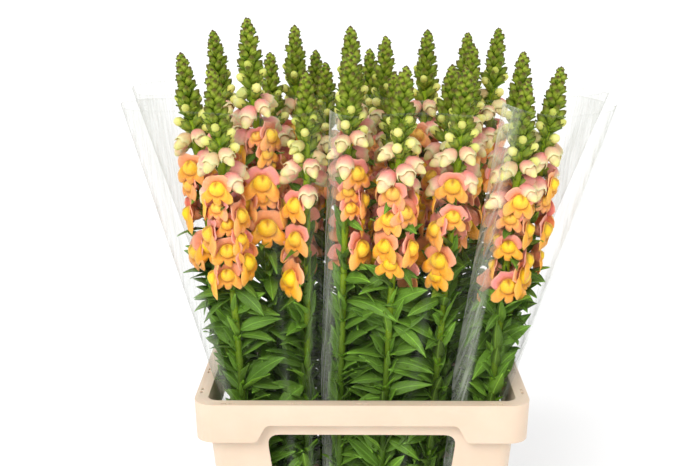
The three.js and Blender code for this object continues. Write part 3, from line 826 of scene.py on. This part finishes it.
def add_cone(greens, stem):
    """The tip of a spike: blunt green buds in a spiral, upright at the top and spread lower down."""
    i = stem.index
    profile = np.array([(0.04, 0.3), (0.36, 0.92), (0.66, 1.0), (0.91, 0.52)])
    t = profile[:, :1]
    sides = 8
    lobes = 1 + 0.1 * np.cos(np.pi * np.arange(sides))
    for k in range(CONE_BUDS["count"]):
        share = k / (CONE_BUDS["count"] - 1)
        tip = CONE_BUDS["first"] + (CONE_BUDS["last"] - CONE_BUDS["first"]) * share**1.25
        lift = np.interp(tip, CONE_DEPTHS, CONE_LIFTS) + vary(9, i, k, 72)
        length = np.interp(tip, CONE_DEPTHS, CONE_LENGTHS) * (1 + vary(0.16, i, k, 73))
        wide = np.interp(tip, CONE_DEPTHS, CONE_HALVES)
        organ = {
            "heading": stem.face_deg + GOLDEN_DEG * k + vary(16, i, k, 71),
            "below": tip + length * math.sin(math.radians(lift)), "lift": lift, "size": 1,
        }
        bud = lathe(profile * (length, wide), sides)
        bud[..., 1:] *= lobes[:, None]
        green = mix(LEAFY["sepal"], LEAFY["cone"], 0.8 - 0.5 * share + vary(0.5, i, k, 74))
        tint = mix(green, LEAFY["bract"], 0.8 * (1 - smooth(t, 0.1, 0.6)))
        tint = mix(tint, LEAFY["stem"], 0.5 * (lobes > 1) * smooth(t, 0.3, 0.7))
        tint = mix(tint, LEAFY["tip"], smooth(t, 0.76, 0.93) * (1 - 0.3 * share))
        place = functools.partial(stem.grown, organ)
        add_tube(greens, bud, (0, 0, 0), (length * 1.02, 0, 0), tint, (0, 0, 5), place)
        bract = mix(LEAFY["bract"], LEAFY["cone"], 0.6 * draw(i, k, 75))
        add_leaflet(greens, stem, organ, length * 0.8, wide * 1.05, -wide * 0.9, bract)


def add_leaflet(greens, stem, organ, length, half, low, tint):
    """A small pointed leaf, such as the bract under a bud."""
    t = np.array([0, 0.35, 0.72, 1])[None, :]
    s = np.array([-1.0, 0, 1])[:, None]
    width = half * np.interp(t, [0, 0.25, 0.5, 0.75, 1], [0.5, 0.9, 1, 0.75, 0.08])
    bend = low - 0.16 * length * t * t + 0.35 * half * np.abs(s)
    form = triple(length * t, s * width, bend)
    tints = mix(tint, LEAFY["stem"], 0.3 * (1 - np.abs(s)))
    add_sheet(greens, stem.grown(organ, form), 0.45, tints, (0, 0, 5))


def add_bract(greens, stem, organ, lift, length, half):
    """A leafy bract that stands up behind a bloom or bud, a little below it."""
    i, j = stem.index, organ["number"]
    behind = {**organ, "below": organ["below"] + 6, "lift": lift + vary(16, i, j, 76), "size": 1}
    behind["heading"] = organ["heading"] + vary(50, i, j, 77)
    add_leaflet(greens, stem, behind, length * (1 + vary(0.3, i, j, 78)), half, 0, LEAFY["bract"])


def add_tuft(greens, stem, leaf):
    """A few tiny bright leaves in a leaf's axil."""
    i, j = stem.index, leaf["number"]
    for k in range(3):
        organ = {**leaf, "heading": leaf["heading"] + 60 * (k - 1) + vary(30, i, j, 120 + k)}
        organ["lift"] = 34 + 44 * draw(i, j, 124 + k)
        length = leaf["length"] * (0.7 + 0.5 * draw(i, j, 128 + k))
        add_leaflet(greens, stem, organ, length, 0.19 * length, 1.0, LEAFY["tuft"])


# ---------------------------------------------------------------- stems and leaves

LEAF_ALONG = np.array([0, 0.1, 0.24, 0.42, 0.62, 0.8, 0.93, 1])
LEAF_WIDTH = np.array([0.14, 0.22, 0.72, 1.0, 0.92, 0.6, 0.24, 0.02])
LEAF_ACROSS = np.array([-1, -0.5, 0, 0.5, 1])
# How much broader the source's leaves are drawn than their solids.
LEAF_BROADER = 1.3


def outward_roll(stem, leaf, tangent):
    """How far a leaf turns about its midrib, for its face to look up and away from the container's middle."""
    x, y, _ = stem.axis(leaf["below"])
    away = np.array([0.4 * x, y, 0])
    away = away / np.linalg.norm(away)
    a = math.radians(leaf["heading"])
    heading = math.cos(a) * stem.east + math.sin(a) * stem.north
    side = math.cos(a) * stem.north - math.sin(a) * stem.east
    normal = -tangent[1] * heading + tangent[0] * stem.up
    return 0.85 * math.atan2(-side @ away, normal @ away + 1)


def add_leaf(greens, stem, leaf, fresh, key, across=LEAF_ACROSS[::2], broader=1.0):
    """A lance-shaped leaf, folded along its midrib, with a wavy margin."""
    i, j = stem.index, leaf["number"]
    phase = 6.28 * draw(i, j, key)
    t = LEAF_ALONG[:, None]
    s = across[None, :]
    out, up = midrib(leaf, LEAF_ALONG)
    tangent = np.gradient([out, up], LEAF_ALONG, axis=1)
    tangent = tangent / np.linalg.norm(tangent, axis=0)
    half = broader * leaf["half"] * LEAF_WIDTH[:, None]
    fold = 0.22 + 0.3 * draw(i, j, key + 1)
    wave = 0.1 * leaf["half"] * np.sin(11 * t + phase + 1.2 * np.sign(s)) * s * s
    raised = half * fold * (np.abs(s) - 0.6) + wave
    roll = outward_roll(stem, leaf, tangent[:, len(LEAF_ALONG) // 2]) + vary(1.5, i, j, key + 2)
    roll = roll * smooth(t, -0.1, 0.35) + vary(0.6, i, j, key + 4) * t
    side = half * s * np.cos(roll) - raised * np.sin(roll)
    lifted = half * s * np.sin(roll) + raised * np.cos(roll)
    ahead, above = tangent[:, :, None]
    form = triple(out[:, None] - above * lifted, side, up[:, None] + ahead * lifted)
    tone = draw(i, j, key + 3)
    base = mix(LEAFY["leaf"], LEAFY["leaf_dark"], 1.1 * tone) * (1 + 0.2 * fresh)
    base = mix(base, LEAFY["cone"], 0.4 * fresh)
    tint = mix(base, LEAFY["rib"], 0.35 * (np.abs(s) < 0.05) * (1 - 0.5 * t))
    under = mix(LEAFY["under"], base, 0.35)
    grain = triple(t * leaf["length"], s * half, 4)
    add_sheet(greens, stem.grown(leaf, form)[:, ::-1], 0.5, tint[:, ::-1], grain[:, ::-1], under)


def add_stalk(greens, stem, low_d, high_d, step, nodes):
    """A stretch of stem with soft ridges, swollen a little where something grows out of it."""
    d = np.concatenate([np.arange(low_d, high_d, -step), [high_d]])
    sides = 10
    a = 2 * np.pi * np.arange(sides) / sides
    grown_to = [0, CONE_BUDS["last"], SPIKE_LENGTH, stem.length]
    radius = np.interp(d, grown_to, [1.2, STEM_RADIUS["rachis"], STEM_RADIUS["top"], STEM_RADIUS["foot"]])
    for below in nodes:
        radius = radius + 0.55 * np.exp(-(((d - below - 2) / 4.5) ** 2))
    ridge = 1 + 0.045 * np.cos(4 * a + 0.5 * stem.index)
    reach = radius[:, None] * ridge
    rings = (
        stem.axis(d)[:, None]
        + (reach * np.cos(a))[..., None] * stem.east
        + (reach * np.sin(a))[..., None] * stem.north
    )
    tint = mix(LEAFY["stem"], LEAFY["stem_low"], smooth(d, 180, 430)[:, None])
    grain = triple(d[:, None], 4 * a, 7)
    add_tube(greens, rings, stem.axis(low_d + 0.2), stem.axis(high_d - 0.2), tint, grain)


# ---------------------------------------------------------------- film

FILM_ACROSS = 41
FILM_ALONG = 40
FOLDS = 9


def add_film(piece, name, key):
    """A sleeve of clear film: a lens-shaped tube that is creased at its left and right, with long folds."""
    bottom, mouth = SLEEVES[name][0][0], SLEEVES[name][-1][0]
    share = np.concatenate([np.linspace(0, 0.994, FILM_ALONG - 1), [1]])[:, None]
    u = np.sin(np.linspace(-np.pi / 2, np.pi / 2, FILM_ACROSS))
    around = np.concatenate([u, u[-2:0:-1]])
    front = np.concatenate([np.full(len(u), -1.0), np.full(len(u) - 2, 1.0)])
    z = bottom + (mouth - bottom) * share
    x, y, half_x, half_y = np.array([sleeve_at(name, height) for height in z[:, 0]]).T[:, :, None]
    phase = [6.28 * draw(key, k, 81) for k in range(8)]
    lean = 2.2 * (share - 0.5)
    ripple = sum(
        np.sin((5 + 3.1 * k) * around * (1 + 0.02 * k) + phase[k] + lean * (k - 2)) / (1 + 0.5 * k)
        for k in range(6)
    )
    crumple = np.sin(23 * share + 3 * around + phase[6]) * np.sin(9 * around + phase[7])
    room = np.clip((1 - np.abs(around)) * 12, 0, 1)
    reach = half_y * (1 - around**6) + (0.42 * ripple + 0.35 * crumple) * room
    wavy = 3.2 * share**8 * np.sin(3 * around + front + phase[0])
    points = triple(x + around * half_x, y + front * reach, z + wavy)

    haze = 0.006
    for k in range(FOLDS):
        at = 2 * draw(key, k, 82) - 1
        at = np.sign(at) * abs(at) ** 0.45
        side = 1 if draw(key, k, 83) > 0.5 else -1
        drift = vary(0.25, key, k, 84) * (share - 0.5)
        line = np.exp(-(((around - at - drift) * half_x / (1.5 + 2.5 * draw(key, k, 85))) ** 2))
        fade = 0.4 + 0.6 * np.sin(3.1 * share * (1 + draw(key, k, 86)) + phase[k % 8]) ** 2
        haze = haze + 0.1 * line * fade * (front == side)
    # The two edges are creased: a milky strip, wider at the sleeve's outer side, with a bright line along it
    # that is a painted highlight.
    edge = (1 - np.abs(around)) * half_x
    outer = (np.sign(around) == np.sign(x)) & (np.abs(x) > 62)
    strip = np.minimum(np.where(outer, 24 + 16 * share, 12), half_x * 0.4)
    seam = (front < 0) & (around < 0) & ~outer
    haze = haze + np.where(outer, 0.16, np.where(seam, 0.28, 0.02)) * smooth(strip - edge, 0, 4)
    lines = 0.16 * np.exp(-(((edge - strip) / 1.8) ** 2)) + 0.24 * np.exp(-((edge / 1.6) ** 2))
    haze = haze + lines * np.where(outer | seam, 1, 0.3) + 0.1 * (share > 0.999)
    grain = triple(around * half_x + 400 * front + 900 * key, z, haze)
    # The film's grey milk, painted lighter and hazier on the front seam's strip: painted light where the film
    # stands edge-on in shade.
    milk_and_painted_light = 0.5 + 0.45 * seam * smooth(strip - edge, -4, 2)
    ring = np.arange(reach.size).reshape(reach.shape)
    piece.add(points, milk_and_painted_light.reshape(-1, 1) * [0.95, 1.0, 0.86], grain, [wall_faces(ring)])


# ---------------------------------------------------------------- container and water

ARC = 10
SQUARE = [(-1, -1), (1, -1), (1, 1), (-1, 1)]


def rounded_ring(half_x, half_y, radius, z):
    """A rectangle with round corners at height z, anticlockwise from above."""
    ring = []
    for quarter, (sx, sy) in enumerate([(1, 1), (-1, 1), (-1, -1), (1, -1)]):
        for i in range(ARC + 1):
            a = (quarter + i / ARC) * math.pi / 2
            x = sx * (half_x - radius) + radius * math.cos(a)
            ring.append((x, sy * (half_y - radius) + radius * math.sin(a), z))
    return ring


def wall_ring(z, inward):
    inset = WALL["inset"] + (RIM["z"] - z) * WALL["taper"] + inward
    return rounded_ring(RIM["half_x"] - inset, RIM["half_y"] - inset, WALL["radius"] - inward, z)


def skirt_ring(z, inward):
    return rounded_ring(RIM["half_x"] - inward, RIM["half_y"] - inward, RIM["radius"] - inward, z)


def loft(name, *solids):
    """Closed solids, each through rings of as many points, as a plain object that isn't in the scene."""
    points, faces = [], []
    for rings in solids:
        n, start = len(rings[0]), len(points)
        points += [tuple(c * MM for c in p) for ring in rings for p in ring]
        end = len(points)
        faces += [tuple(range(start, start + n))[::-1], tuple(range(end - n, end))]
        for at in range(start, end - n, n):
            for i in range(n):
                j = (i + 1) % n
                faces.append((at + i, at + j, at + n + j, at + n + i))
    return plain(name, points, faces)


def plain(name, points, faces):
    made = bpy.data.meshes.new(name)
    made.from_pydata(points, [], faces)
    return bpy.data.objects.new(name, made)


def round_corner(before, corner, after, radius, steps=5):
    """Points that round a corner of an outline, by a curve that touches both sides at the radius."""
    before, corner, after = (np.array(p, float) for p in (before, corner, after))
    start = corner + (before - corner) * radius / np.linalg.norm(before - corner)
    end = corner + (after - corner) * radius / np.linalg.norm(after - corner)
    t = np.linspace(0, 1, steps + 1)[:, None]
    return (1 - t) ** 2 * start + 2 * t * (1 - t) * corner + t * t * end


def rounded_outline(corners, radii):
    n = len(corners)
    return np.concatenate([
        round_corner(corners[i - 1], corners[i], corners[(i + 1) % n], radii[i]) if radii[i] else
        np.array([corners[i]], float)
        for i in range(n)
    ])


def cross_bar(name, outline, along_x):
    """An outline in width and height, as a bar through the container from front to back or side to side."""
    reach = RIM["half_x"] + 5
    if along_x:
        return loft(name, [[(depth, w, h) for w, h in outline] for depth in (-reach, reach)])
    return loft(name, [[(w, depth, h) for w, h in outline] for depth in (reach, -reach)])


def window_outline(half):
    high, low = RIM["z"] - WINDOW["top"], RIM["z"] - WINDOW["bottom"]
    narrow = half - math.tan(math.radians(WINDOW["slope_deg"])) * (high - low)
    radius = WINDOW["radius"]
    return rounded_outline([(-narrow, low), (narrow, low), (half, high), (-half, high)], [radius] * 4)


def skirt_cut_outline(rim_half):
    wide = rim_half - SKIRT["corner_length"]
    low, high = RIM["z"] - SKIRT["corner"], RIM["z"] - SKIRT["middle"]
    inner = wide - SKIRT["ramp_in"]
    corners = [
        (-wide - 9, low - 12), (wide + 9, low - 12), (wide + 9, low), (wide, low), (inner, high),
        (-inner, high), (-wide, low), (-wide - 9, low),
    ]
    return rounded_outline(corners, [0, 0, 0, 5, 6, 6, 5, 0])


def slots():
    """Pairs of small slots through the top of the rim."""
    long_y, short_x = RIM["half_y"] - 6, RIM["half_x"] - 6
    long_at = [x + s for x in (-158, -80, 0, 80, 158) for s in (-5, 5)]
    short_at = [y + s for y in (-102, -34, 34, 102) for s in (-5, 5)]
    places = [(x, y, 3.4, 1.5) for x in long_at for y in (-long_y, long_y)]
    places += [(x, y, 1.5, 3.4) for y in short_at for x in (-short_x, short_x)]
    heights = (RIM["z"] - 5, RIM["z"] + 2)
    return loft("slots", *(
        [[(x + a * half_w, y + b * half_d, z) for a, b in SQUARE] for z in heights]
        for x, y, half_w, half_d in places
    ))


def container_mesh():
    """The moulded container: walls, floor, turned-down rim, a window in each wall, all edges rounded."""
    z, draft, thick = RIM["z"], SKIRT["draft"], SKIRT["thick"]
    low = z - SKIRT["corner"]
    floor, inner = WALL["floor"], WALL["thick"]
    body = loft("container_body", [skirt_ring(low, draft), skirt_ring(z, 0)])
    shell = loft("shell", [wall_ring(0, 0), wall_ring(z - RIM["thick"] / 2, 0)])
    tools = [
        loft("hollow", [skirt_ring(low - 1, draft + thick), skirt_ring(z - RIM["thick"], thick)]),
        cross_bar("cut_long", skirt_cut_outline(RIM["half_x"]), False),
        cross_bar("cut_short", skirt_cut_outline(RIM["half_y"]), True),
        shell,
        loft("cavity", [wall_ring(floor, inner), wall_ring(z + 1, inner)]),
        cross_bar("window_long", window_outline(WINDOW["long_half"]), False),
        cross_bar("window_short", window_outline(WINDOW["short_half"]), True),
        slots(),
    ]
    scene = bpy.context.scene
    scene.collection.objects.link(body)
    for tool in tools:
        scene.collection.objects.link(tool)
        cut = body.modifiers.new(tool.name, "BOOLEAN")
        cut.operation = "UNION" if tool == shell else "DIFFERENCE"
        cut.object = tool
        cut.solver = "EXACT"
    bevel = body.modifiers.new("rounding", "BEVEL")
    bevel.width = 1.1 * MM
    bevel.segments = 3
    bevel.limit_method = "ANGLE"
    bevel.angle_limit = math.radians(38)
    made = bpy.data.meshes.new_from_object(body.evaluated_get(bpy.context.evaluated_depsgraph_get()))
    for obj in (body, *tools):
        old = obj.data
        bpy.data.objects.remove(obj)
        bpy.data.meshes.remove(old)
    made.name = "container_moulding"
    made.set_sharp_from_angle(angle=math.radians(32))
    return made


def add_water(piece):
    """Still water in the foot of the container, climbing a little at the walls."""
    clear = WALL["thick"] + WATER["gap"]
    low, top = WALL["floor"] + WATER["gap"], WALL["floor"] + WATER["depth"]
    heights = [
        (low, 1.5), (low + 1.5, 0),
        (top, 0), (top - 0.9, 1), (top - 1.3, 2.6), (top - 1.4, 30), (top - 1.4, 70),
    ]
    rings = np.array([wall_ring(z, clear) for z, _ in heights])
    for ring, (_, inward) in zip(rings, heights):
        ring[:, 0] *= 1 - inward / (RIM["half_x"] - WALL["inset"])
        ring[:, 1] *= 1 - inward / (RIM["half_y"] - WALL["inset"])
    add_tube(piece, rings, (0, 0, low), (0, 0, top - 1.4), (1, 1, 1), (0, 0, 8))


# ---------------------------------------------------------------- materials


class Finish:
    """A material with a Principled shader, and the nodes that vary it over the surface."""

    def __init__(self, name, **inputs):
        self.made = bpy.data.materials.new(name)
        self.made.use_nodes = True
        self.shader = self.made.node_tree.nodes["Principled BSDF"]
        for socket, value in inputs.items():
            self.set(socket.replace("_", " "), value)

    def set(self, socket, value):
        self.feed(self.shader.inputs[socket], value)

    def feed(self, socket, value):
        """A socket gets a number or colour of its own, or a link from another node."""
        if isinstance(value, bpy.types.NodeSocket):
            self.made.node_tree.links.new(value, socket)
        else:
            socket.default_value = value

    def node(self, kind, sockets=None, **facts):
        """The outputs of a new node."""
        made = self.made.node_tree.nodes.new("ShaderNode" + kind)
        for name, value in facts.items():
            setattr(made, name, value)
        for name, value in (sockets or {}).items():
            self.feed(made.inputs[name], value)
        return made.outputs

    def attribute(self, name, output):
        return self.node("Attribute", attribute_name=name)[output]

    def math(self, operation, a, b=0):
        return self.node("Math", {0: a, 1: b}, operation=operation)["Value"]

    def times(self, a, b):
        return self.math("MULTIPLY", a, b)

    def remap(self, value, low, high, to_low, to_high):
        sockets = {"Value": value, "From Min": low, "From Max": high, "To Min": to_low, "To Max": to_high}
        return self.node("MapRange", sockets)["Result"]

    def stretched(self, vector, factors):
        return self.node("VectorMath", {0: vector, 1: factors}, operation="MULTIPLY")["Vector"]

    def noise(self, scale, detail=3, roughness=0.55, vector=None):
        if vector is None:
            vector = self.node("TexCoord")["Object"]
        sockets = {"Scale": scale, "Detail": detail, "Roughness": roughness, "Vector": vector}
        return self.node("TexNoise", sockets)["Fac"]

    def tint(self, factor):
        """The mesh's own tint, times a number that varies over the surface."""
        sockets = {0: self.attribute("tint", "Color"), "Scale": factor}
        self.set("Base Color", self.node("VectorMath", sockets, operation="SCALE")["Vector"])

    def bump(self, height, strength, distance):
        sockets = {"Height": height, "Strength": strength, "Distance": distance}
        self.set("Normal", self.node("Bump", sockets)["Normal"])


def petal_material():
    """Velvety petals: mottled, with fine veins that run out to the margin."""
    velvet = Finish(
        "petal_velvet", Roughness=0.52, Sheen_Weight=0.08,
        Subsurface_Weight=0.18, Subsurface_Scale=0.003, Subsurface_Radius=(1.0, 0.45, 0.25))
    veins = velvet.noise(1, 2, 0.5, velvet.stretched(velvet.attribute("grain", "Vector"), (2.2, 0.16, 3.7)))
    mottle = velvet.remap(velvet.noise(210), 0.3, 0.7, 0.93, 1.06)
    velvet.tint(velvet.times(velvet.remap(veins, 0.35, 0.65, 0.93, 1.05), mottle))
    velvet.bump(velvet.math("ADD", velvet.times(veins, 1.6), velvet.noise(1600, 2)), 0.35, 0.0003)
    return velvet.made


def foliage_material():
    """Waxy green: blotched, with side veins sunk between the midrib and the margin."""
    wax = Finish(
        "foliage_waxy", Specular_IOR_Level=0.2,
        Subsurface_Weight=0.05, Subsurface_Scale=0.002, Subsurface_Radius=(0.6, 1.0, 0.2))
    along, side, kind = wax.node("SeparateXYZ", {"Vector": wax.attribute("grain", "Vector")})
    across = wax.math("ABSOLUTE", side)
    slanted = wax.math("SUBTRACT", along, wax.times(across, 1.5))
    vein = wax.remap(wax.math("SINE", wax.times(slanted, 1.15)), 0.75, 1, 0, 1)
    # The third grain coordinate is 4 on leaves and more elsewhere, so only leaves have a midrib.
    rib = wax.times(wax.remap(across, 0.2, 0.6, 1, 0), wax.remap(kind, 4, 4.5, 1, 0))
    pale = wax.math("ADD", wax.remap(vein, 0, 1, 1, 1.18), rib)
    blotch = wax.noise(120)
    wax.tint(wax.times(wax.remap(blotch, 0.3, 0.7, 0.86, 1.12), pale))
    wax.set("Roughness", wax.remap(blotch, 0.3, 0.7, 0.4, 0.56))
    wax.bump(wax.math("SUBTRACT", wax.noise(900, 2), wax.times(vein, 1.3)), 0.4, 0.0004)
    return wax.made


def film_material():
    """Clear crinkled film: almost nothing where it is smooth, hazy along its folds."""
    clear = Finish("film_clear", Roughness=0.12, IOR=1.5)
    clear.set("Base Color", clear.attribute("tint", "Color"))
    grain = clear.attribute("grain", "Vector")
    streak = clear.noise(1, 4, 0.6, clear.stretched(grain, (0.16, 0.009, 0)))
    fine = clear.noise(1, 2, 0.5, clear.stretched(grain, (0.6, 0.02, 0)))
    lines = clear.remap(clear.math("ABSOLUTE", clear.math("SUBTRACT", streak, 0.5)), 0, 0.004, 0.05, 0)
    folds = clear.node("SeparateXYZ", {"Vector": grain})["Z"]
    haze = clear.times(folds, clear.remap(fine, 0.3, 0.7, 0.5, 1.5))
    clear.set("Alpha", clear.math("ADD", haze, lines))
    clear.bump(clear.math("ADD", streak, clear.times(fine, 0.3)), 0.6, 0.006)
    return clear.made


def plastic_material():
    """Moulded cream plastic: satin, with a fine grain, faint clouding and scuffs."""
    satin = Finish("container_cream", Subsurface_Weight=0.08, Subsurface_Scale=0.004)
    clouds = satin.remap(satin.noise(14, 4), 0.35, 0.65, 0, 1)
    creams = {"A": (*srgb(219, 196, 172), 1), "B": (*srgb(224, 203, 180), 1), "Factor": clouds}
    satin.set("Base Color", satin.node("Mix", creams, data_type="RGBA")["Result"])
    upright = satin.stretched(satin.node("TexCoord")["Object"], (40, 40, 260))
    satin.set("Roughness", satin.remap(satin.noise(1, 5, 0.6, upright), 0.3, 0.75, 0.36, 0.55))
    satin.bump(satin.noise(1400, 2), 0.12, 0.0003)
    return satin.made


def water_material():
    """Water that stems have stood in: clear, with a faint green cast."""
    still = Finish("water_still", Roughness=0.04, IOR=1.33, Base_Color=(0.5, 0.58, 0.45, 1))
    still.set("Alpha", still.remap(still.noise(9, 2), 0.3, 0.7, 0.38, 0.52))
    still.bump(still.noise(22, 2), 0.15, 0.004)
    return still.made


# ---------------------------------------------------------------- the pieces

petal = petal_material()
foliage = foliage_material()
film = film_material()

placed("container_moulding", container_mesh(), plastic_material(), "container_plastic", "container")
water = Piece()
add_water(water)
water.build("water_still", water_material(), "water", "water")
for key, name in enumerate(SLEEVES):
    sheath = Piece()
    add_film(sheath, name, key)
    sheath.build(f"film_{name}", film, "film", f"sleeve_{name}")

for stem in stems:
    i = stem.index
    number = f"{i + 1:02d}"
    petals, greens, leafy = Piece(), Piece(), Piece()
    open_blooms = blooms[i] + fill_blooms[i]
    closed_buds = buds[i] + fill_buds[i]
    at_back = 0.35 * (stem.foot[1] > 0)
    nodes = [organ["below"] for organ in open_blooms + closed_buds + young_buds[i]]
    add_stalk(greens, stem, SPIKE_LENGTH, 6, 7, nodes)
    add_cone(greens, stem)
    for k, bloom in enumerate(open_blooms):
        add_bloom(petals, greens, stem, bloom, k, deeper=0.35 * (k >= len(blooms[i])) + at_back)
        add_bract(greens, stem, bloom, lift=40, length=19, half=4.4)
    for k, bud in enumerate(closed_buds):
        ripe = held((bud["below"] - 84) / 52 + vary(0.3, i, k, 54), 0.05)
        add_closed_bud(petals, greens, stem, bud, ripe, k)
        add_bract(greens, stem, bud, lift=52, length=20, half=5.4)
    for bud in young_buds[i]:
        add_young_bud(petals, greens, stem, bud)
        add_bract(greens, stem, bud, lift=56, length=18, half=4.8)
    for leaf in spike_leaves[i]:
        add_leaf(greens, stem, leaf, fresh=0.3, key=130)
    add_stalk(leafy, stem, stem.length - 1, SPIKE_LENGTH + GAP, 12, [leaf["below"] for leaf in leaves[i]])
    for leaf in leaves[i]:
        add_leaf(leafy, stem, leaf, fresh=0, key=90, across=LEAF_ACROSS, broader=LEAF_BROADER)
    for leaf in tufts[i]:
        add_tuft(leafy, stem, leaf)
    for leaf in outer_leaves[i]:
        add_leaf(leafy, stem, leaf, fresh=0.1, key=140)
    for leaf in fill_leaves[i]:
        add_leaf(leafy, stem, leaf, fresh=0.1, key=110)
    petals.build("petals_" + number, petal, "petals", "flower_spike_" + number)
    greens.build("spike_green_" + number, foliage, "foliage", "flower_spike_" + number)
    leafy.build("stem_green_" + number, foliage, "foliage", "leafy_stem_" + number)

# ---------------------------------------------------------------- floor, light and camera

floor = plain("floor", [(60 * x, 60 * y, 0) for x, y in SQUARE], [(0, 1, 2, 3)])
floor.data.materials.append(Finish("floor_pale", Roughness=0.9, Base_Color=(0.93, 0.93, 0.93, 1)).made)
bpy.context.scene.collection.objects.link(floor)

world = bpy.data.worlds.new("studio")
world.use_nodes = True
background = world.node_tree.nodes["Background"].inputs
background["Color"].default_value = (1, 1, 1, 1)
background["Strength"].default_value = 0.985
bpy.context.scene.world = world

# A soft lamp far away, turned from straight down.
sun = bpy.data.lights.new("key", "SUN")
sun.energy = 1.7
sun.angle = math.radians(25)
lamp = bpy.data.objects.new("key", sun)
lamp.rotation_euler = (math.radians(52), 0, math.radians(-24))
bpy.context.scene.collection.objects.link(lamp)

camera = bpy.data.cameras.new("camera")
camera.sensor_width = 36
camera.lens = 57.34
camera.clip_end = 200
viewer = bpy.data.objects.new("camera", camera)
viewer.location = (-0.0052, -1.3748, 0.8626)
viewer.rotation_euler = (math.radians(76.5), 0, math.radians(0.41))
bpy.context.scene.collection.objects.link(viewer)
bpy.context.scene.camera = viewer
bpy.context.scene.view_settings.view_transform = "Standard"
